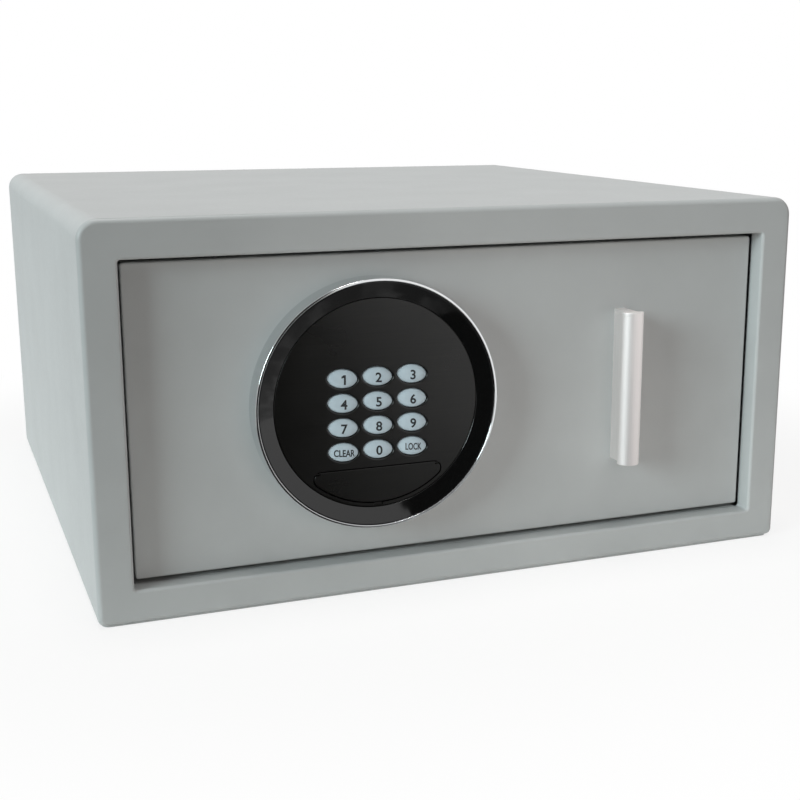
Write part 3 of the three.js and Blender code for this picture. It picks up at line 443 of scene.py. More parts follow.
def rim(radius, depth, edge, into, steps=RIM_STEPS):
    """Points (radius, depth) from a wall round to an end at a depth; into is the way back into the piece.

    With a radius of 0 they are levels (growth, depth).
    """
    return [(radius - i * edge, depth + into * o * edge) for i, o in reversed(quarter(steps))]


def turned(name, profile, centre, steps=TURN_STEPS, place=across_y, wrap=False):
    """Profile of (radius, depth) points turned about a line through centre (u, v)."""
    rings = []
    for radius, depth in profile:
        rings.append([place(u, v, depth) for u, v in arc(*centre, radius, 0, 360, steps)[:-1]])
    return loft(name, rings, wrap)


def pierced_plate(name, outer, holes, near, far, edge, place=across_y, hole_edge=None):
    """Plate from near to far with its near rims rounded; the outlines are functions of a growth."""
    forward = math.copysign(1, far - near)
    work = bmesh.new()
    near_rims = []
    far_rims = []
    for outline, way in [(outer, -1)] + [(hole, 1) for hole in holes]:
        round_off = hole_edge if hole_edge and way > 0 else edge
        levels = [(way * round_off * i, near + forward * round_off * o) for i, o in quarter()]
        levels.append((0, far))
        loops = []
        for grow, depth in levels:
            loops.append([work.verts.new(Vector(place(u, v, depth)) * MM) for u, v in outline(grow)])
        for first, second in zip(loops, loops[1:]):
            for i in range(len(first)):
                work.faces.new((first[i - 1], first[i], second[i], second[i - 1]))
        near_rims.append(loops[0])
        far_rims.append(loops[-1])
    for rims in (near_rims, far_rims):
        edges = [work.edges.get((loop[i - 1], loop[i])) for loop in rims for i in range(len(loop))]
        bmesh.ops.triangle_fill(work, use_beauty=True, edges=edges)
    return shape_of(name, work)


def bake(piece):
    """Makes the piece's modifiers part of its mesh."""
    shaped = piece.evaluated_get(bpy.context.evaluated_depsgraph_get())
    mesh = bpy.data.meshes.new_from_object(shaped)
    piece.modifiers.clear()
    piece.data = mesh


def combine(piece, tools, operation="DIFFERENCE"):
    """Cuts the tools from the piece, or joins them to it, and removes them."""
    for tool in tools:
        change = piece.modifiers.new("solid", "BOOLEAN")
        change.operation = operation
        change.solver = "EXACT"
        change.object = tool
        bake(piece)
        bpy.data.objects.remove(tool)
    return piece


def prism(name, outline, start, end, place=across_y):
    return loft(name, [[place(u, v, depth) for u, v in outline] for depth in (start, end)])


def block(name, x0, x1, y0, y1, z0, z1):
    return prism(name, [(x0, z0), (x1, z0), (x1, z1), (x0, z1)], y0, y1)


def rod(name, centre, radius, start, end, place=across_y):
    return prism(name, arc(*centre, radius, 0, 360, SMALL_TURN_STEPS)[:-1], start, end, place)


def gathered(name, pieces):
    """One piece made of several that don't touch."""
    work = bmesh.new()
    for piece in pieces:
        work.from_mesh(piece.data)
        bpy.data.objects.remove(piece)
    return shape_of(name, work)


def screw_head(centre, seat, radius, way=1, place=across_y):
    """Domed head with a cross recess on a face at depth seat, pointing way along its line."""
    rise = radius * HEAD_RISE
    angles = [math.radians(a) for a in HEAD_ANGLES]
    profile = [(radius, seat)]
    profile += [(radius * math.cos(a), seat + way * rise * (1 + math.sin(a)) / 2) for a in angles]
    head = turned("head", profile, centre, SMALL_TURN_STEPS, place)
    u, v = centre
    long, short = radius * CROSS_LENGTH, radius * CROSS_WIDTH
    for half_u, half_v in ((long, short), (short, long)):
        signs = ((-1, -1), (1, -1), (1, 1), (-1, 1))
        corners = [(u + side_u * half_u, v + side_v * half_v) for side_u, side_v in signs]
        ends = (seat + way * rise * CROSS_FLOOR, seat + way * 2 * rise)
        combine(head, [prism("cross", corners, *ends, place)])
    return head


def settle(piece, body, slot, nodes=(), finish=None):
    """Shades a finished piece, gives it its material and fastens it to its body in place of CAD nodes."""
    mesh = piece.data
    mesh.materials.clear()
    mesh.materials.append(finish or FINISHES[slot])
    mesh.shade_smooth()
    mesh.set_sharp_from_angle(angle=SHARP_ANGLE)
    weigh = piece.modifiers.new("normals", "WEIGHTED_NORMAL")
    weigh.keep_sharp = True
    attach(piece, body)
    if nodes:
        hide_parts(*nodes)


# Materials

NOISE_REACH = (0.3, 0.7)  # where most of a noise's values lie
MIX_SHARE, MIX_FIRST, MIX_SECOND = 0, 6, 7  # a colour mix's inputs
MIX_RESULT = 2


def linear(colour):
    """Linear red, green, blue and alpha of an sRGB hex colour."""
    shares = [int(colour[i:i + 2], 16) / 255 for i in (0, 2, 4)]
    return [c / 12.92 if c <= 0.04045 else ((c + 0.055) / 1.055) ** 2.4 for c in shares] + [1.0]


def add(tree, kind, inputs=None, **settings):
    """Adds a node with its settings; an input takes a value or the socket that feeds it."""
    node = tree.nodes.new("ShaderNode" + kind)
    for key, value in settings.items():
        setattr(node, key, value)
    for key, value in (inputs or {}).items():
        if isinstance(value, bpy.types.NodeSocket):
            tree.links.new(value, node.inputs[key])
        else:
            node.inputs[key].default_value = value
    return node


def per(size):
    """A texture's scale for features of a size in millimetres."""
    return 1 / (size * MM)


def new_material(name):
    material = bpy.data.materials.new(name)
    material.use_nodes = True
    material.node_tree.nodes.clear()
    return material, material.node_tree


def patterned(
    name, colour, roughness, size, detail=2.0, coarse=0.5, stretch=(1, 1, 1), relief=None, more=None,
    cloud=None, cloudy=None,
):
    """Material whose colour and roughness are each one value, or a pair that a noise varies between.

    The noise has a size in millimetres, and also a relief in millimetres where one is given. Where a cloud
    (size, detail) is given, that broader noise varies the colour or the roughness, whichever cloudy names.
    """
    material, tree = new_material(name)
    place = add(tree, "TexCoord").outputs["Object"]
    drawn = add(tree, "Mapping", {"Vector": place, "Scale": stretch}).outputs[0]
    inputs = {"Vector": drawn, "Scale": per(size), "Detail": detail, "Roughness": coarse}
    pattern = add(tree, "TexNoise", inputs).outputs["Fac"]
    drivers = {"colour": pattern, "roughness": pattern}
    if cloud:
        inputs = {"Vector": place, "Scale": per(cloud[0]), "Detail": cloud[1]}
        drivers[cloudy] = add(tree, "TexNoise", inputs).outputs["Fac"]
    first, last = NOISE_REACH
    surface = {"Roughness": roughness}
    if isinstance(roughness, tuple):
        surface["Roughness"] = add(tree, "MapRange", {
            "Value": drivers["roughness"], "From Min": first, "From Max": last,
            "To Min": roughness[0], "To Max": roughness[1],
        }).outputs["Result"]
    if isinstance(colour, tuple):
        share = add(tree, "MapRange", {"Value": drivers["colour"], "From Min": first, "From Max": last})
        surface["Base Color"] = add(tree, "Mix", {
            MIX_SHARE: share.outputs["Result"], MIX_FIRST: linear(colour[0]), MIX_SECOND: linear(colour[1]),
        }, data_type="RGBA").outputs[MIX_RESULT]
    else:
        surface["Base Color"] = linear(colour)
    if relief:
        inputs = {"Height": pattern, "Distance": relief * MM, "Strength": 1.0}
        surface["Normal"] = add(tree, "Bump", inputs).outputs[0]
    surface.update(more or {})
    shader = add(tree, "BsdfPrincipled", surface)
    add(tree, "OutputMaterial", {"Surface": shader.outputs[0]})
    return material


def circuit_board():
    # Green solder mask over glass laminate; straight copper tracks show through as a lighter green.
    # The pattern is scaled to one millimetre, so its sizes are in millimetres.
    material, tree = new_material("solder_mask_laminate")
    place = add(tree, "TexCoord").outputs["Object"]
    upright = add(tree, "Mapping", {"Vector": place, "Rotation": (math.pi / 2, 0, 0)}).outputs[0]
    tracks = add(tree, "TexBrick", {
        "Vector": upright, "Scale": per(1.0), "Mortar Size": 0.1, "Brick Width": 8.0, "Row Height": 1.6,
        "Color1": linear("1c5a36"), "Color2": linear("206540"), "Mortar": linear("2f7d52"),
    })
    surface = {"Base Color": tracks.outputs["Color"], "Roughness": 0.35, "IOR": 1.55}
    shader = add(tree, "BsdfPrincipled", surface)
    add(tree, "OutputMaterial", {"Surface": shader.outputs[0]})
    return material


METAL = {"Metallic": 1.0}
FINISHES = {
    # Polyester powder on sheet steel: satin, with a faint orange peel and a cloudy evenness of tone.
    # The peel's cells of 1 to 2 mm are drawn at 3 mm, or they would be lost in the render.
    "powder_coat": patterned(
        "polyester_powder_coat", ("b8bab9", "bdbfbe"), (0.42, 0.48), 3.0, 2.0, 0.6,
        relief=0.02, more={"IOR": 1.5}, cloud=(45.0, 3.0), cloudy="colour",
    ),
    # Zinc plated and passivated steel: dull grey metal with a blotchy, faintly blue cast.
    "zinc_steel": patterned("zinc_plated_steel", ("b4b8bb", "c6c9ca"), (0.36, 0.48), 6.0, 4.0, more=METAL),
    # Cold rolled or turned steel: bright metal with fine lines along the rolling direction.
    "bright_steel": patterned(
        "cold_rolled_steel", ("c0c2c4", "cfd1d2"), (0.22, 0.34), 0.8, 3.0,
        stretch=(1, 0.02, 1), relief=0.004, more=METAL,
    ),
    # Decorative chrome on a turned ring: near mirror, with turning lines too fine to see one by one.
    "chrome": patterned("chrome_plate", "e4e6e7", (0.06, 0.1), 5.0, more=METAL),
    # ABS moulded against a polished tool: piano black, whose slight ripple bends its reflections.
    "gloss_black": patterned(
        "polished_black_abs", "0b0b0b", 0.07, 12.0, 1.0, relief=0.12, more={"IOR": 1.54},
    ),
    # ABS with a fine spark-eroded texture: satin black, a little warm.
    "satin_black": patterned(
        "satin_black_abs", ("1f1f1e", "262625"), (0.42, 0.52), 0.9, relief=0.01, more={"IOR": 1.54},
    ),
    # Moulded silicone-coated polycarbonate key caps: pale blue-grey, smooth and slightly soft looking.
    "key_plastic": patterned("moulded_key_plastic", ("c2d3dc", "c8d9e1"), (0.34, 0.4), 3.0, more={
        "IOR": 1.5, "Subsurface Weight": 0.05, "Subsurface Radius": (MM, MM, MM), "Subsurface Scale": 0.5,
    }),
    # Clear anodised extrusion: silvery satin metal with drawing lines along its length.
    # Real lines are about 0.05 mm wide; they are drawn at 0.5 mm so that some show.
    "anodised_aluminium": patterned(
        "anodised_aluminium", ("e6e1df", "eee9e7"), (0.58, 0.66), 0.5, 3.0, 0.6,
        stretch=(1, 1, 0.01), relief=0.004, more=METAL,
    ),
    # Nitrile rubber: matt black with a dusty bloom.
    "rubber": patterned(
        "nitrile_rubber", ("1d1d1d", "292929"), (0.7, 0.85), 2.0, 4.0, relief=0.02, more={"IOR": 1.52},
    ),
    # Moulded silicone mat: milky grey and matt.
    "silicone": patterned("moulded_silicone", ("85898c", "909497"), (0.55, 0.65), 4.0, more={"IOR": 1.41}),
    "circuit_board": circuit_board(),
    # Needled polyester felt: dark, matt, with a soft sheen from its standing fibres.
    # Fibres are about 0.03 mm thick and are drawn at 0.6 mm.
    "felt": patterned(
        "needled_felt", ("26282b", "3a3c40"), 0.95, 0.6, 5.0, 0.7,
        relief=0.25, more={"Sheen Weight": 0.3, "Sheen Roughness": 0.6},
    ),
    # Turned brass: warm yellow metal, a little dull on its flats.
    "brass": patterned("turned_brass", ("c3a05c", "cfae6a"), (0.26, 0.38), 1.5, 3.0, more=METAL),
    # Shrunk PVC sleeve on the cells: blue-black and glossy.
    "cell_wrap": patterned(
        "shrunk_pvc_sleeve", ("33424f", "3c4c5a"), 0.25, 3.0, stretch=(1, 1, 0.3), relief=0.04,
    ),
    # Moulded acetal ball cage: black, slightly waxy.
    "cage_plastic": patterned("moulded_acetal", ("242526", "2c2d2f"), (0.4, 0.5), 1.5, more={"IOR": 1.48}),
}
# Black acrylic face plate with a faint horizontal brushing under its clear coat.
# The lines of about 0.1 mm are drawn at 0.7 mm so that some show.
FACE_FINISH = patterned(
    "brushed_black_acrylic", ("050504", "11100e"), (0.27, 0.33), 0.7, 3.0, 0.6, (0.02, 1, 1),
    relief=0.004, more={"IOR": 1.49}, cloud=(20.0, 2.0), cloudy="roughness",
)
# Pad-printed ink: nearly black, flat.
INK_FINISH = patterned("pad_print_ink", ("22262a", "2c3034"), 0.6, 0.3)


def dress_cad_nodes():
    """Every CAD node gets the material of its slot; those that a piece replaces are hidden later."""
    for part in frame["record"]["subparts"]:
        mesh = frame["nodes"][part["node"]].data
        mesh.materials.clear()
        mesh.materials.append(FINISHES[part["material_slot"]])


# Cabinet

def cabinet_sheet():
    """One folded sheet: walls, front flange and the return into the mouth, open below behind the flange."""
    outside = front_area("cabinet_shell")
    inside = grown(outside, -SHEET)
    return_y = FRONT_Y + MOUTH_RETURN
    walls = [(0, REAR_Y)] + rim(0, FRONT_Y, FRONT_FOLD, 1, FOLD_STEPS)
    mouth = [(i * MOUTH_FOLD, FRONT_Y + o * MOUTH_FOLD) for i, o in quarter(FOLD_STEPS)]
    mouth += [(0, return_y - CUT_EDGE), (CUT_EDGE, return_y), (SHEET, return_y), (SHEET, FRONT_Y + SHEET)]
    lining = [(SHEET - FRONT_FOLD, FRONT_Y + SHEET), (0, FRONT_Y + FRONT_FOLD), (0, REAR_Y)]
    rings = rounded_rings(outside, LOW_CORNER, TOP_CORNER, walls)
    rings += rounded_rings(MOUTH, MOUTH_CORNER, MOUTH_CORNER, mouth)
    rings += rounded_rings(inside, LOW_CORNER, TOP_CORNER - SHEET, lining)
    sheet = loft("cabinet_shell_sheet", rings, wrap=True)
    below = block(
        "open_base", inside[0], inside[1], FRONT_Y + SHEET, REAR_Y + SHEET,
        shell_low.z - SHEET, shell_low.z + SHEET + FRONT_FOLD,
    )
    combine(sheet, [below])
    settle(sheet, "cabinet", "powder_coat", ["cabinet_shell"])


def base_sheet():
    area = (base_low.x, base_high.x, base_low.y, base_high.y)
    places = [(x, y) for x in (-BASE_HOLE_X, BASE_HOLE_X) for y in (-BASE_HOLE_Y, BASE_HOLE_Y)]
    holes = [circle(x, y, HOLE_RADIUS) for x, y in places]
    sheet = pierced_plate(
        "base_plate_sheet", lambda grow: rounded(grown(area, grow), LOW_CORNER, LOW_CORNER),
        holes, base_low.z, base_high.z, CUT_EDGE, along_z,
    )
    settle(sheet, "cabinet", "powder_coat", ["base_plate"])


def rear_sheet():
    area = front_area("rear_plate")
    corner = TOP_CORNER - SHEET - CUT_ROOM
    holes = [circle(x, REAR_HOLE_Z, HOLE_RADIUS) for x in (-REAR_HOLE_X, REAR_HOLE_X)]
    sheet = pierced_plate(
        "rear_plate_sheet", lambda grow: rounded(grown(area, grow), LOW_CORNER, corner + grow),
        holes, rear_high.y, rear_low.y, CUT_EDGE,
    )
    settle(sheet, "cabinet", "powder_coat", ["rear_plate"])


def keeper_angle(name):
    """Folded angle whose shelf is pierced for the bolts and whose leg stands against the cabinet."""
    low, high = span(name)
    edge, wall = (low.z, high.z) if low.z > PAD_Z else (high.z, low.z)
    shelf = edge + math.copysign(KEEPER_GAUGE, wall - edge)
    outline = filleted([
        (low.y, edge, CUT_EDGE), (low.y, shelf, CUT_EDGE),
        (high.y - KEEPER_GAUGE, shelf, KEEPER_FOLD - KEEPER_GAUGE), (high.y - KEEPER_GAUGE, wall, CUT_EDGE),
        (high.y, wall, CUT_EDGE), (high.y, edge, KEEPER_FOLD),
    ])
    angle = prism(name + "_angle", outline, low.x, high.x, along_x)
    reach = (low.z - KEEPER_GAUGE, high.z + KEEPER_GAUGE)
    radius = BOLT_RADIUS + KEEPER_ROOM
    combine(angle, [rod("cutter", (x, BOLT_Y), radius, *reach, along_z) for x in (-BOLT_X, BOLT_X)])
    settle(angle, "cabinet", "powder_coat", [name])


def rear_buffer(name):
    """Moulded rubber buffer: a foot, a tapered body with a soft nose, and a dimple for its screw."""
    low, high = span(name)
    radius = half_width(name)
    nose = radius - BUFFER_TAPER
    foot_y = high.y - BUFFER_FOOT
    profile = [(radius, high.y), (radius, foot_y), (radius - BUFFER_TAPER / 2, foot_y)]
    profile += rim(nose, low.y, BUFFER_EDGE, 1, FOLD_STEPS)
    profile += [(BUFFER_DIMPLE, low.y), (BUFFER_DIMPLE, low.y + BUFFER_DIMPLE_DEPTH)]
    centre = middle(name)
    buffer = turned(name + "_moulding", profile, (centre.x, centre.z), SMALL_TURN_STEPS)
    settle(buffer, "cabinet", "rubber", [name])


# Runners

def member(node, web, flange, fold, near_drawer=False, ball=0.0):
    """Channel along Y in the node's box, with its web on the cabinet's or on the drawer's side."""
    low, high = span(node)
    side = math.copysign(1, low.x)
    inner, outer = sorted((abs(low.x), abs(high.x)))
    back, tip = (inner, outer) if near_drawer else (outer, inner)
    front_of_web = back + math.copysign(web, tip - back)
    z = middle(node).z
    half = (high.z - low.z) / 2 - ball
    inside = max(fold - flange, LEAST)
    half_outline = [
        (back, half, fold), (tip, half, MEMBER_TIP), (tip, half - flange, MEMBER_TIP / 2),
        (front_of_web, half - flange, inside),
    ]
    corners = [(side * u, z - v, r) for u, v, r in half_outline]
    corners += [(side * u, z + v, r) for u, v, r in reversed(half_outline)]
    return prism(node + "_channel", filleted(corners), low.y, high.y)


def slots(node, radius, length):
    """Cutters for a row of oblong holes along a channel's web."""
    low, high = span(node)
    z = middle(node).z
    count = int((high.y - low.y) / SLOT_PITCH)
    first = middle(node).y - SLOT_PITCH * (count - 1) / 2
    reach = (low.x - RUNNER_GAUGE, high.x + RUNNER_GAUGE)
    cutters = []
    for i in range(count):
        y = first + SLOT_PITCH * i
        area = (y - length / 2, y + length / 2, z - radius, z + radius)
        cutters.append(prism("slot", rounded(area, radius - LEAST, radius - LEAST), *reach, along_x))
    return cutters


def runner(label):
    """Bracket, three members and the inner member's screws through the tray's wall."""
    bracket = "runner_bracket_" + label
    piece = member(bracket, BRACKET_GAUGE, BRACKET_GAUGE, BRACKET_FOLD, True)
    settle(piece, "cabinet", "zinc_steel", [bracket])
    for kind, body, slot, near_drawer in (
        ("outer", "cabinet", SLOT, False), ("middle", "runner_" + label, WIDE_SLOT, False),
        ("inner", "drawer", SLOT, True),
    ):
        node = f"runner_{kind}_{label}"
        piece = member(node, RUNNER_GAUGE, RUNNER_GAUGE, MEMBER_FOLD, near_drawer)
        settle(combine(piece, slots(node, *slot)), body, "bright_steel", [node])
    side = math.copysign(1, span(node)[0].x)
    z = middle(node).z
    heads = []
    for seat, way in ((side * (TRAY_HALF + RUNNER_GAUGE), side), (side * (TRAY_HALF - TRAY_SHEET), -side)):
        heads += [screw_head((y, z), seat, RUNNER_SCREW_RADIUS, way, along_x) for y in RUNNER_SCREW_Y]
    settle(gathered("runner_screws_" + label, heads), "drawer", "zinc_steel")


def ball_cage(name, body):
    """Moulded strip with two rows of balls."""
    strip = member(name, CAGE_GAUGE, CAGE_STRIP, CAGE_FOLD, ball=BALL_RADIUS - CAGE_STRIP / 2)
    settle(strip, body, "cage_plastic", [name])
    low, high = span(name)
    side = math.copysign(1, low.x)
    x = side * (max(abs(low.x), abs(high.x)) - BALL_INSET)
    pitch = (high.y - low.y) / BALLS_PER_ROW
    work = bmesh.new()
    for i in range(BALLS_PER_ROW):
        y = low.y + pitch * (i + 0.5)
        for z in (low.z + BALL_RADIUS, high.z - BALL_RADIUS):
            made = bmesh.ops.create_uvsphere(
                work, u_segments=2 * BALL_RINGS, v_segments=BALL_RINGS, radius=BALL_RADIUS * MM,
            )
            bmesh.ops.translate(work, verts=made["verts"], vec=Vector((x, y, z)) * MM)
    settle(shape_of(name + "_balls", work), body, "bright_steel")


# Drawer

def drawer_front_pan():
    """Panel folded back into a rim on four sides, with holes for the lead, the lock, screws and bolts."""
    area = front_area("drawer_front")
    back_y = PANEL_Y + PANEL_THICK
    corner = PANEL_CORNER - RIM_SHEET
    levels = rim(0, PANEL_Y, PANEL_EDGE, 1, FOLD_STEPS)[::-1]
    levels += [(0, pan_high.y - CUT_EDGE), (-CUT_EDGE, pan_high.y)]
    rings = rounded_rings(area, PANEL_CORNER, PANEL_CORNER, levels)
    rings += rounded_rings(grown(area, -RIM_SHEET), corner, corner, [(0, pan_high.y), (0, back_y)])
    pan = loft("drawer_front_pan", rings)
    screws = [middle(name) for name in ("handle_screw_lower", "handle_screw_upper")]
    through = (PANEL_Y - PANEL_THICK, back_y + PANEL_THICK)
    cutters = [rod("cutter", (PAD_X, middle("key_cylinder").z), BOLT_RADIUS + CUT_ROOM, *through)]
    cutters.append(rod("cutter", (PAD_X, middle("keypad_lead").z), LEAD_HOLE, *through))
    cutters += [rod("cutter", (screw.x, screw.z), SCREW_HOLE, *through) for screw in screws]
    for x in (-BOLT_X, BOLT_X):
        for z in (pan_low.z, pan_high.z):
            reach = (z - RIM_SHEET * 2, z + RIM_SHEET * 2)
            cutters.append(rod("cutter", (x, BOLT_Y), BOLT_RADIUS + CUT_ROOM, *reach, along_z))
    combine(pan, cutters)
    settle(pan, "drawer", "powder_coat", ["drawer_front"])


def drawer_tray_sheet():
    """Folded tray with hemmed walls; its tall front wall closes the drawer front from behind."""
    top = TRAY_FLOOR + TRAY_WALL
    inner_fold = TRAY_FOLD - TRAY_SHEET

    def ring(inset, z, front_share=TRAY_FRONT_SHARE, more=0.0):
        front_y = tray_low.y + CUT_EDGE + inset * front_share
        area = (-TRAY_HALF + inset, TRAY_HALF - inset, front_y, tray_high.y - inset)
        corner = max(TRAY_CORNER - inset + more, LEAST)
        return [along_z(u, v, z) for u, v in rounded(area, LEAST, corner)]

    rings = [ring(i * TRAY_FOLD, TRAY_FLOOR + o * TRAY_FOLD, 0, LEAST) for i, o in quarter()]
    for inset, rise in arc(TRAY_SHEET, 0, TRAY_SHEET, 180, 0, 2 * RIM_STEPS):
        rings.append(ring(inset, top - TRAY_SHEET + rise))
    rings += [ring(inset, top - TRAY_HEM) for inset in (2 * TRAY_SHEET, TRAY_SHEET)]
    for i, o in reversed(quarter()):
        rings.append(ring(TRAY_SHEET + i * inner_fold, TRAY_FLOOR + TRAY_SHEET + o * inner_fold))
    tray = loft("drawer_tray_sheet", rings)

    motor_room = soft_rectangle(grown(front_area("gear_motor"), CUT_ROOM), WALL_CORNER)
    lead = circle(PAD_X, middle("keypad_lead").z, LEAD_HOLE)
    front = pierced_plate(
        "front_wall", soft_rectangle(front_area("drawer_tray"), WALL_CORNER), [motor_room, lead],
        TRAY_BACK_OF_FRONT, tray_low.y, CUT_EDGE,
    )
    combine(tray, [front], "UNION")
    settle(tray, "drawer", "powder_coat", ["drawer_tray"])


def tray_mat_felt():
    outline = soft_rectangle((mat_low.x, mat_high.x, mat_low.y, mat_high.y), MAT_CORNER)
    mat = pierced_plate("tray_mat_felt", outline, [], mat_high.z, mat_low.z, MAT_EDGE, along_z)
    settle(mat, "drawer", "felt", ["tray_mat"])


def lock_cover_moulding():
    """Cover over the lock with a pocket for the cells, wells for screws and a hole for the button."""
    area = front_area("lock_cover")
    front, back = cover_low.y, cover_high.y
    levels = [(-COVER_WALL, back - COVER_WALL), (-COVER_WALL, front), (0, front)]
    levels += rim(0, back, COVER_EDGE, -1, FOLD_STEPS)
    cover = loft("lock_cover_moulding", rounded_rings(area, COVER_CORNER, COVER_CORNER, levels))

    rebate = grown(front_area("battery_cover"), CUT_ROOM)
    pocket = grown(rebate, -DOOR_REBATE)
    floor_y = span("battery_cells")[0].y - CUT_ROOM
    behind = back + COVER_WALL

    def cutter(cut_area, corner, start):
        return prism("cutter", rounded(cut_area, corner, corner), start, behind)

    walls = prism(
        "pocket_walls", rounded(grown(pocket, COVER_WALL), COVER_WALL, COVER_WALL),
        floor_y - COVER_WALL, back - COVER_WALL / 2,
    )
    combine(cover, [walls], "UNION")
    button = middle("reset_button")
    cutters = [
        cutter(pocket, DOOR_REBATE / 2, floor_y),
        cutter(rebate, DOOR_CORNER, door_low.y - CUT_ROOM),
        rod("cutter", (button.x, button.z), RESET_STEM + CUT_ROOM, back - 2 * COVER_WALL, behind),
    ]
    left, right, low, high = grown(area, -COVER_SCREW_INSET)
    places = [(x, z) for x in (left, right) for z in (low, high)]
    seat = back - COVER_SCREW_WELL
    cutters += [rod("cutter", place, COVER_SCREW_RADIUS + CUT_ROOM, seat, behind) for place in places]
    combine(cover, cutters)
    settle(cover, "drawer", "satin_black", ["lock_cover"])
    heads = [screw_head(place, seat, COVER_SCREW_RADIUS) for place in places]
    settle(gathered("lock_cover_screws", heads), "drawer", "zinc_steel")


def battery_door():
    """Flush lid over the cells, with half-round grip ridges."""
    face = door_high.y - GRIP_RISE
    outline = soft_rectangle(front_area("battery_cover"), DOOR_CORNER)
    door = pierced_plate("battery_cover_lid", outline, [], face, door_low.y, DOOR_EDGE)
    x = middle("battery_cover").x
    ridges = []
    for i in range(GRIP_COUNT):
        z = door_high.z - GRIP_DROP - i * GRIP_PITCH
        ends = (x - GRIP_LENGTH / 2, x + GRIP_LENGTH / 2)
        ridges.append(rod("ridge", (door_high.y - GRIP_RADIUS, z), GRIP_RADIUS, *ends, along_x))
    combine(door, ridges, "UNION")
    settle(door, "drawer", "satin_black", ["battery_cover"])


def reset_button_cap():
    low, high = span("reset_button")
    flange = half_width("reset_button")
    shoulder = low.y + RESET_FLANGE_THICK
    profile = [(flange, low.y), (flange, shoulder), (RESET_STEM, shoulder)]
    profile += rim(RESET_STEM, high.y, SMALL_EDGE, -1)
    centre = middle("reset_button")
    settle(turned("reset_button_cap", profile, (centre.x, centre.z), SMALL_TURN_STEPS),
           "reset_button", "rubber", ["reset_button"])


# Handle

def handle_extrusion():
    """Half-round bar on a web, cut square, with an end cap at the top."""
    x = middle("handle").x
    bar_y = handle_low.y + BAR_RADIUS
    foot_y = handle_high.y

    def section(grow, z):
        web = WEB_HALF + grow
        fillet = WEB_FILLET - grow
        back_y = bar_y + grow
        bar = BAR_RADIUS + grow
        outline = [(x - web, foot_y)]
        outline += arc(x - web - fillet, back_y + fillet, fillet, 0, -90, FILLET_STEPS)
        outline += arc(x, back_y, bar, 180, 360, BAR_STEPS)
        outline += arc(x + web + fillet, back_y + fillet, fillet, -90, -180, FILLET_STEPS)
        outline.append((x + web, foot_y))
        return [(u, v, z) for u, v in outline]

    low, high = handle_low.z, handle_high.z
    groove = high - CAP_DROP
    levels = rim(0, low, HANDLE_EDGE, 1)[::-1] + [
        (0, groove - CAP_GROOVE), (-CAP_GROOVE, groove - CAP_GROOVE / 2),
        (-CAP_GROOVE, groove + CAP_GROOVE / 2), (0, groove + CAP_GROOVE),
    ] + rim(0, high, HANDLE_EDGE, -1)
    rings = [section(grow, z) for grow, z in levels]
    settle(loft("handle_extrusion", rings), "drawer", "anodised_aluminium", ["handle"])


# Keypad

def turned_ring(node, suffix, slot, corners, z=PAD_Z):
    """Ring on the keypad's line in x, turned from corners (radius, depth, rounding)."""
    ring = turned(node + suffix, filleted(corners), (PAD_X, z), wrap=True)
    settle(ring, "drawer", slot, [node])


def bezel_tube():
    outer = half_width("bezel_ring")
    inner = outer - RING_WALL
    front, back = ring_low.y, ring_high.y
    turned_ring("bezel_ring", "_tube", "chrome", [
        (inner, front, RING_LIP), (outer, front, RING_LIP), (outer, back, 0), (inner, back, 0),
    ])


def fascia_bevel():
    outer = half_width("fascia_ring")
    inner = half_width("keypad_plate") + CUT_ROOM
    turned_ring("fascia_ring", "_bevel", "gloss_black", [
        (outer, fascia_low.y, BEVEL_RIM), (inner, PLATE_Y, BEVEL_FOOT),
        (inner, fascia_high.y, 0), (outer, fascia_high.y, 0),
    ])


def key_oval(x, z):
    """Key outline as a function of its growth: an oval drawn out a little to the left and right."""
    def outline(grow):
        points = []
        for i in range(OVAL_STEPS):
            angle = 2 * math.pi * i / OVAL_STEPS
            rise = math.copysign(abs(math.sin(angle)) ** KEY_POINT, math.sin(angle))
            u = (KEY_HALF_X + grow) * math.cos(angle)
            points.append((x + u, z + (KEY_HALF_Z + grow) * rise - KEY_LEAN * u))
        return points
    return outline


def crescent(grow):
    """Outline of the flap: a straight top edge and an arc about the keypad's centre."""
    corner = FLAP_CORNER + grow
    corner_z = PAD_Z - FLAP_CORNER_DROP
    lean = math.degrees(math.atan2(FLAP_CORNER_DROP, FLAP_CORNER_X))
    return (
        arc(PAD_X + FLAP_CORNER_X, corner_z, corner, 90, -lean, FOLD_STEPS)
        + arc(PAD_X, PAD_Z, FLAP_ARC + grow, -lean, lean - 180, CRESCENT_STEPS)[1:-1]
        + arc(PAD_X - FLAP_CORNER_X, corner_z, corner, lean - 180, -270, FOLD_STEPS)
    )


KEY_NAMES = [name for name in frame["nodes"] if name.startswith("key_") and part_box(name)[0].y < PLATE_Y * MM]


def keypad_face():
    holes = []
    for name in KEY_NAMES:
        outline = key_oval(middle(name).x, middle(name).z)
        holes.append(lambda grow, outline=outline: outline(KEY_GAP + grow))
    plate = pierced_plate(
        "keypad_face_plate", circle(PAD_X, PAD_Z, half_width("keypad_plate"), TURN_STEPS),
        holes, PLATE_Y, plate_high.y, PLATE_RIM, hole_edge=PLATE_DISH,
    )
    window = prism("cutter", crescent(FLAP_GAP), PLATE_Y - FLAP_THICK, plate_high.y + FLAP_THICK)
    top = PAD_Z - FLAP_ARC
    notch = block(
        "cutter", PAD_X - NOTCH_WIDTH / 2, PAD_X + NOTCH_WIDTH / 2,
        PLATE_Y - NOTCH_DEPTH, PLATE_Y + NOTCH_DEPTH, top - NOTCH_HEIGHT, top + FLAP_GAP,
    )
    combine(plate, [window, notch])
    settle(plate, "drawer", "satin_black", ["keypad_plate"], FACE_FINISH)


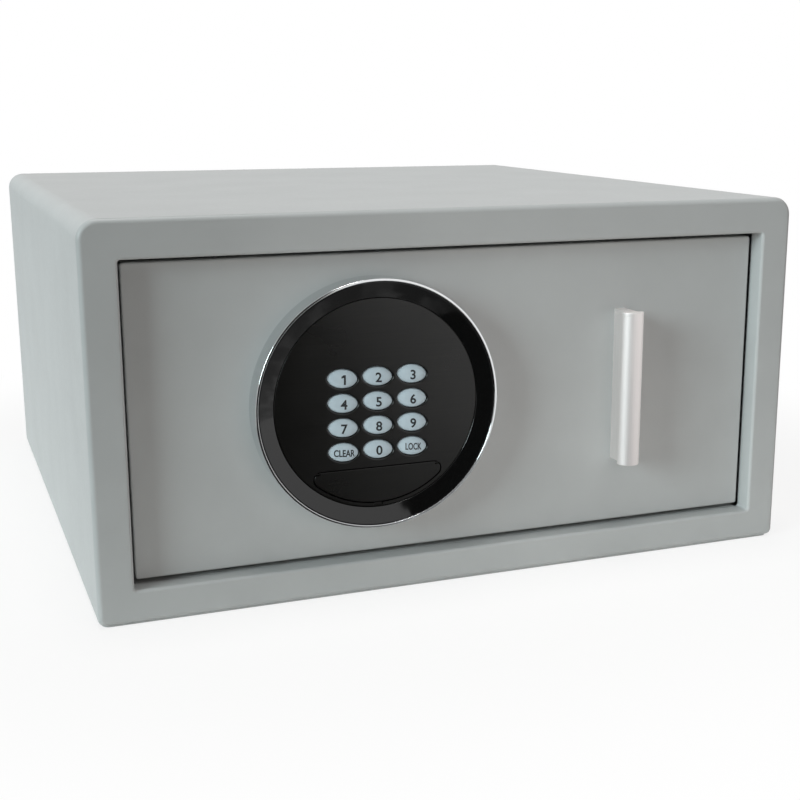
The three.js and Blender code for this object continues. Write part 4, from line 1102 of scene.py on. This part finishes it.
def dome_depth(share):
    """How far behind the key's crown its face lies, at a share of the way from centre to rim."""
    return (KEY_CROWN + KEY_RIM_SINK) * share ** DOME_POWER


def key_cap(name):
    centre = middle(name)
    outline = key_oval(centre.x, centre.z)
    low, high = span(name)
    crown = low.y
    rings = []
    for share in DOME_SHARES:
        ring = [(centre.x + (u - centre.x) * share, centre.z + (v - centre.z) * share) for u, v in outline(0)]
        rings.append([across_y(u, v, crown + dome_depth(share)) for u, v in ring])
    flange_y = high.y - KEY_FLANGE_THICK
    for grow, depth in ((0, flange_y), (KEY_FLANGE, flange_y), (KEY_FLANGE, high.y)):
        rings.append([across_y(u, v, depth) for u, v in outline(grow)])
    settle(loft(name + "_cap", rings), name, "key_plastic", [name])


def crossed(mesh):
    """Cuts flat lettering along a fine grid, so that it can follow a curved face."""
    work = bmesh.new()
    work.from_mesh(mesh)
    for axis in (Vector((1, 0, 0)), Vector((0, 1, 0))):
        places = [v.co.dot(axis) for v in work.verts]
        steps = math.ceil((max(places) - min(places)) / LEGEND_GRID)
        for i in range(1, steps):
            everything = work.verts[:] + work.edges[:] + work.faces[:]
            cut = axis * (min(places) + LEGEND_GRID * i)
            bmesh.ops.bisect_plane(work, geom=everything, plane_co=cut, plane_no=axis)
    work.to_mesh(mesh)
    work.free()


def flagged(mesh):
    """Gives the typeface's plain 1 a flag, whose reach and drop are shares of the figure's height."""
    us = [v.co.x for v in mesh.vertices]
    vs = [v.co.y for v in mesh.vertices]
    left, top = min(us), max(vs)
    tall = top - min(vs)
    weight = max(us) - left
    tip_u = left - FLAG_REACH * tall
    tip_v = top - FLAG_DROP * tall
    work = bmesh.new()
    work.from_mesh(mesh)
    corners = [(left, top), (tip_u, tip_v), (tip_u, tip_v - weight), (left, top - weight * FLAG_ROOT)]
    work.faces.new([work.verts.new((u, v, 0)) for u, v in corners])
    work.to_mesh(mesh)
    work.free()


def legend(name, text, height, width, shift):
    """Printed characters draped over the key's dome, shifted from its centre to the right and up.

    A width of None keeps a digit's own shape, a little widened.
    """
    curve = bpy.data.curves.new(name, "FONT")
    curve.body = text
    curve.align_x = "CENTER"
    curve.align_y = "CENTER"
    curve.resolution_u = LETTER_STEPS
    curve.offset = LEGEND_WEIGHT
    writer = placed(name, curve)
    bpy.context.view_layer.update()
    mesh = bpy.data.meshes.new_from_object(writer.evaluated_get(bpy.context.evaluated_depsgraph_get()))
    bpy.data.objects.remove(writer)
    if text == "1":
        flagged(mesh)
    crossed(mesh)
    us = [v.co.x for v in mesh.vertices]
    vs = [v.co.y for v in mesh.vertices]
    tall = height / (max(vs) - min(vs))
    wide = width / (max(us) - min(us)) if width else tall * DIGIT_STRETCH
    mid_u = (max(us) + min(us)) / 2
    mid_v = (max(vs) + min(vs)) / 2
    key = name.removesuffix("_legend")
    centre = middle(key)
    crown = span(key)[0].y
    for vertex in mesh.vertices:
        u = (vertex.co.x - mid_u) * wide + shift[0]
        v = (vertex.co.y - mid_v) * tall + shift[1]
        share = math.hypot(u / KEY_HALF_X, v / KEY_HALF_Z)
        place = across_y(centre.x + u, centre.z + v - KEY_LEAN * u, crown + dome_depth(share) - INK)
        vertex.co = Vector(place) * MM
    piece = placed(name, mesh)
    thick = piece.modifiers.new("ink", "SOLIDIFY")
    thick.thickness = INK * MM
    thick.offset = 0
    bake(piece)
    settle(piece, key, "satin_black", finish=INK_FINISH)


def keys():
    for name in KEY_NAMES:
        key_cap(name)
        text = name.removeprefix("key_").upper()
        legend(name + "_legend", text, **WORDS.get(text, DIGIT))


def flap_cover():
    """Crescent cover whose top edge is rolled about the hinge line behind its face, with two trunnions."""
    back_y = PLATE_Y + FLAP_THICK
    axis_y = PLATE_Y + FLAP_HINGE
    axis_z = PAD_Z - FLAP_CHORD - FLAP_HINGE
    cover = pierced_plate("flap_cover", crescent, [], PLATE_Y, back_y, FLAP_EDGE)
    across = (PAD_X - FLAP_ARC, PAD_X + FLAP_ARC)
    through = (PLATE_Y - FLAP_THICK, back_y + FLAP_THICK)
    roll = rod("roll", (axis_y, axis_z), FLAP_HINGE, *across, along_x)
    below = block("below", *across, *through, PAD_Z - 2 * FLAP_ARC, axis_z)
    face = block("face", *across, through[0], axis_y, axis_z - FLAP_HINGE, PAD_Z)
    combine(roll, [below, face], "UNION")
    combine(cover, [roll], "INTERSECT")
    for side in (-1, 1):
        ends = sorted((PAD_X + side * (FLAP_CORNER_X + FLAP_HINGE), PAD_X + side * FLAP_ARC))
        lowest = axis_z - FLAP_HINGE - FLAP_SWING_ROOM
        combine(cover, [block("corner", *ends, *through, lowest, PAD_Z)])
        start = PAD_X + side * (FLAP_CORNER_X - TRUNNION_REACH)
        end = PAD_X + side * (FLAP_CORNER_X + FLAP_CORNER + TRUNNION_REACH)
        pin = rod("pin", (axis_y, axis_z), TRUNNION, *sorted((start, end)), along_x)
        combine(cover, [pin], "UNION")
    settle(cover, "flap", "satin_black", ["flap"], FACE_FINISH)


# Lock behind the flap

def key_cylinder_barrel():
    low, high = span("key_cylinder")
    flange = half_width("key_cylinder")
    bore = half_width("key_plug") + CYLINDER_BORE_ROOM
    neck_y = low.y + CYLINDER_FLANGE_THICK
    turned_ring("key_cylinder", "_barrel", "bright_steel", [
        (bore, low.y, SMALL_EDGE), (flange, low.y, SMALL_EDGE), (flange, neck_y, SMALL_EDGE),
        (BOLT_RADIUS, neck_y, 0), (BOLT_RADIUS, high.y, SMALL_EDGE), (bore, high.y, 0),
    ], middle("key_cylinder").z)


def key_plug_core():
    """Plug with a keyway and a ward beside it."""
    low, high = span("key_plug")
    radius = half_width("key_plug")
    z = middle("key_plug").z
    profile = [(radius, high.y)] + rim(radius, low.y, SMALL_EDGE, 1)
    plug = turned("key_plug_core", profile[::-1], (PAD_X, z))
    ends = (low.y - SMALL_EDGE, low.y + KEYWAY_DEPTH)
    half = KEYWAY_WIDTH / 2
    slot = block("slot", PAD_X - half, PAD_X + half, *ends, z - KEYWAY_HEIGHT / 2, z + KEYWAY_HEIGHT / 2)
    ward = block("ward", PAD_X, PAD_X + half + WARD_WIDTH, *ends, z - WARD_HEIGHT, z)
    combine(plug, [slot, ward])
    settle(plug, "key_plug", "brass", ["key_plug"])


def power_socket_barrel():
    low, high = span("power_socket")
    radius = half_width("power_socket")
    centre = (middle("power_socket").x, middle("power_socket").z)
    floor_y = (low.y + high.y) / 2
    profile = [(SOCKET_BORE, floor_y), (SOCKET_BORE, low.y + SMALL_EDGE), (SOCKET_BORE + SMALL_EDGE, low.y)]
    profile += rim(radius, low.y, SMALL_EDGE, 1)[::-1] + [(radius, high.y)]
    settle(turned("power_socket_barrel", profile, centre), "drawer", "gloss_black", ["power_socket"])
    pin = rod("power_socket_pin", centre, SOCKET_PIN, low.y + SMALL_EDGE, floor_y)
    settle(pin, "drawer", "brass")


# Bolts

def smooth_bolts(node, body):
    """Turned bolts with rounded tips, fitted over the faceted ones of the bar."""
    low, high = span(node)
    tip = high.z if node.endswith("top") else low.z
    way = math.copysign(1, tip - PAD_Z)
    radius = BOLT_RADIUS + BOLT_SKIN
    profile = [(radius, tip - way * BOLT_SLEEVE)]
    profile += rim(radius, tip + way * BOLT_SKIN, BOLT_CHAMFER, -way, FOLD_STEPS)
    bolts = [turned("bolt", profile, (x, BOLT_Y), place=along_z) for x in (-BOLT_X, BOLT_X)]
    settle(gathered(node + "_pins", bolts), body, "bright_steel")


# Studio

CAMERA_PLACE = (-0.29324, -0.89892, 0.27891)
CAMERA_TURN = (76.98686, -0.11036, -21.91819)
LENS = 59.772
SENSOR = 36.0
SHIFT_X = -0.0534
SHIFT_Y = 0.0046
CLIP_START = 0.01


def camera():
    data = bpy.data.cameras.new("camera")
    data.sensor_width = SENSOR
    data.sensor_fit = "HORIZONTAL"
    data.lens = LENS
    data.shift_x = SHIFT_X
    data.shift_y = SHIFT_Y
    data.clip_start = CLIP_START
    made = placed("camera", data)
    made.location = CAMERA_PLACE
    made.rotation_euler = [math.radians(a) for a in CAMERA_TURN]
    bpy.context.scene.camera = made


# The left key reaches the side, the mouth's right return and the panel, but the left flange keeps it off the
# panel's left edge, as in the photo. The boxes add an even light that leaves no mark in the gloss.
WORLD_LEVEL = 0.04
SUNS = {
    "left_key": {"towards": (-0.9, -0.32, 0.3), "level": 2.0, "spread": 25.0, "colour": "ecfcff"},
    "overhead": {"towards": (0.0, 0.05, 1.0), "level": 1.45, "spread": 20.0, "colour": "fffdfc"},
}
SOFT_BOXES = {
    "front_box": {
        "place": (60.0, -660.0, 150.0), "aim": (20.0, -213.0, 100.0),
        "size": 400.0, "level": 0.56, "colour": "fff6f3",
    },
    "high_box": {
        "place": (50.0, -450.0, 800.0), "aim": (0.0, -50.0, 150.0),
        "size": 600.0, "level": 0.4, "colour": "ffffff",
    },
}


def white_rays(tree):
    """1 for the rays that show a background: seen directly, in a reflection or through glass."""
    path = add(tree, "LightPath").outputs
    seen = add(tree, "Math", {0: path["Is Camera Ray"], 1: path["Is Glossy Ray"]}, operation="MAXIMUM")
    both = {0: seen.outputs[0], 1: path["Is Transmission Ray"]}
    return add(tree, "Math", both, operation="MAXIMUM").outputs[0]


def world():
    made = bpy.data.worlds.new("studio")
    made.use_nodes = True
    tree = made.node_tree
    tree.nodes.clear()
    bpy.context.scene.world = made
    room = add(tree, "Background", {"Color": linear("ffffff"), "Strength": WORLD_LEVEL})
    white = add(tree, "Background", {"Color": linear("ffffff"), "Strength": 1.0})
    mix = add(tree, "MixShader", {0: white_rays(tree), 1: room.outputs[0], 2: white.outputs[0]})
    add(tree, "OutputWorld", {"Surface": mix.outputs[0]})


def lamp(name, kind, towards, level, colour):
    """Lamp that stands, as seen from the safe, in the direction towards."""
    data = bpy.data.lights.new(name, kind)
    data.energy = level
    data.color = linear(colour)[:3]
    made = placed(name, data)
    made.rotation_euler = towards.to_track_quat("Z", "Y").to_euler()
    return made


def sun(name, towards, level, spread, colour):
    made = lamp(name, "SUN", Vector(towards), level, colour)
    made.data.angle = math.radians(spread)


def soft_box(name, place, aim, size, level, colour):
    made = lamp(name, "AREA", Vector(place) - Vector(aim), level, colour)
    made.data.size = size * MM
    made.location = Vector(place) * MM
    made.visible_glossy = False


FLOOR_RADIUS = 4000.0
FLOOR_NEAR = 300.0
FLOOR_FAR = 540.0
FLOOR_WHITE = 0.82
BOUNCE_NEAR = 330.0
BOUNCE_FAR = 560.0


def floor():
    """Pale floor that keeps the safe's shadow near it and goes over into the white backdrop further out.

    Its light on the safe comes mostly from the near floor, as in a studio whose white table ends in front.
    """
    edge = [along_z(u, v, 0) for u, v in circle(0, 0, FLOOR_RADIUS, TURN_STEPS)(0)]
    disc = shape_from("floor", edge, [tuple(range(len(edge)))])
    material, tree = new_material("pale_floor")
    distance = add(tree, "VectorMath", {0: add(tree, "TexCoord").outputs["Object"]}, operation="LENGTH")
    fades = []
    for near, far, start in ((BOUNCE_NEAR, BOUNCE_FAR, 0.0), (FLOOR_NEAR, FLOOR_FAR, FLOOR_WHITE)):
        fades.append(add(tree, "MapRange", {
            "Value": distance.outputs["Value"], "From Min": near * MM, "From Max": far * MM, "To Min": start,
        }, interpolation_type="SMOOTHSTEP").outputs[0])
    bounce_fade, white_fade = fades
    bounce = add(tree, "Mix", {
        MIX_SHARE: bounce_fade, MIX_FIRST: linear("f4f4f2"), MIX_SECOND: linear("8a8a88"),
    }, data_type="RGBA")
    tone = add(tree, "Mix", {
        MIX_SHARE: add(tree, "LightPath").outputs["Is Camera Ray"],
        MIX_FIRST: bounce.outputs[MIX_RESULT], MIX_SECOND: linear("f6f6f4"),
    }, data_type="RGBA")
    paint = add(tree, "BsdfDiffuse", {"Color": tone.outputs[MIX_RESULT]})
    white = add(tree, "Emission", {"Color": linear("ffffff"), "Strength": 1.0})
    share = add(tree, "Math", {0: white_fade, 1: white_rays(tree)}, operation="MULTIPLY")
    shader = add(tree, "MixShader", {0: share.outputs[0], 1: paint.outputs[0], 2: white.outputs[0]})
    add(tree, "OutputMaterial", {"Surface": shader.outputs[0]})
    disc.data.materials.append(material)
    disc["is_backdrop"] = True


# Cards in front of the safe that only reflections show. Each is drawn by its (y, z) lines, from near to far,
# and glows from its first level at the left edge to its last level, which it reaches at full_x.
FOOT_NEAR = (-235.0, 1.0)
FOOT_FAR = (-500.0, 1.0)
CARD_EDGE_X = 5.0
RIPPLE_SIZE = 24.0
RIPPLE_DETAIL = 3.0
RIPPLE_REACH = (0.5, 0.75)  # noise that turns bright
CARDS = {
    "black_card": {
        "lines": (FOOT_NEAR, FOOT_FAR, (-500.0, 500.0)), "left": -400.0, "right": CARD_EDGE_X,
        "first": 0.02, "last": 0.02, "full_x": CARD_EDGE_X, "waves": 0.0,
    },
    "grey_card": {
        "lines": (FOOT_FAR, (-500.0, 110.0)), "left": CARD_EDGE_X, "right": 260.0,
        "first": 0.1, "last": 1.0, "full_x": 130.0, "waves": 0.0,
    },
    "rippled_foot": {
        "lines": ((-235.0, 2.0), (-500.0, 2.0)), "left": -35.0, "right": 330.0,
        "first": 0.13, "last": 0.5, "full_x": 330.0, "waves": 2.5,
    },
}


def reflected_card(name, lines, left, right, first, last, full_x, waves):
    """Glowing card; waves is how much brighter its ripples are than its ground."""
    points = [(x, y, z) for y, z in lines for x in (left, right)]
    faces = [(i, i + 1, i + 3, i + 2) for i in range(0, len(points) - 2, 2)]
    card = shape_from(name, points, faces)
    material, tree = new_material(name)
    place = add(tree, "TexCoord").outputs["Object"]
    level = add(tree, "MapRange", {
        "Value": add(tree, "SeparateXYZ", {0: place}).outputs[0],
        "From Min": left * MM, "From Max": full_x * MM, "To Min": first, "To Max": last,
    })
    waviness = {"Vector": place, "Scale": per(RIPPLE_SIZE), "Detail": RIPPLE_DETAIL}
    noise = add(tree, "TexNoise", waviness)
    start, full = RIPPLE_REACH
    ripples = add(tree, "MapRange", {
        "Value": noise.outputs["Fac"], "From Min": start, "From Max": full,
        "To Min": 1.0, "To Max": 1.0 + waves,
    })
    glow = add(tree, "Math", {0: level.outputs[0], 1: ripples.outputs[0]}, operation="MULTIPLY")
    shader = add(tree, "Emission", {"Color": linear("ffffff"), "Strength": glow.outputs[0]})
    add(tree, "OutputMaterial", {"Surface": shader.outputs[0]})
    card.data.materials.append(material)
    card.visible_camera = False
    card.visible_diffuse = False
    card.visible_shadow = False
    card.visible_transmission = False
    card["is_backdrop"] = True


def main():
    bpy.context.scene.view_settings.view_transform = "Standard"
    dress_cad_nodes()
    cabinet_sheet()
    base_sheet()
    rear_sheet()
    keeper_angle("keeper_top")
    keeper_angle("keeper_bottom")
    for label in ("left", "right"):
        rear_buffer("rear_buffer_" + label)
        runner(label)
        for place in ("outer", "inner"):
            ball_cage(f"cage_{place}_{label}", f"{place}_cage_{label}")
    drawer_front_pan()
    drawer_tray_sheet()
    tray_mat_felt()
    lock_cover_moulding()
    battery_door()
    reset_button_cap()
    handle_extrusion()
    bezel_tube()
    fascia_bevel()
    keypad_face()
    keys()
    flap_cover()
    key_cylinder_barrel()
    key_plug_core()
    power_socket_barrel()
    smooth_bolts("bolt_bar_top", "top_bolts")
    smooth_bolts("bolt_bar_bottom", "bottom_bolts")
    camera()
    world()
    for name, settings in SUNS.items():
        sun(name, **settings)
    for name, settings in SOFT_BOXES.items():
        soft_box(name, **settings)
    floor()
    for name, settings in CARDS.items():
        reflected_card(name, **settings)
    boxes = {"cad": cad_box, "visual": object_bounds()}
    {name: [list(corner) for corner in box] for name, box in boxes.items()}


main()
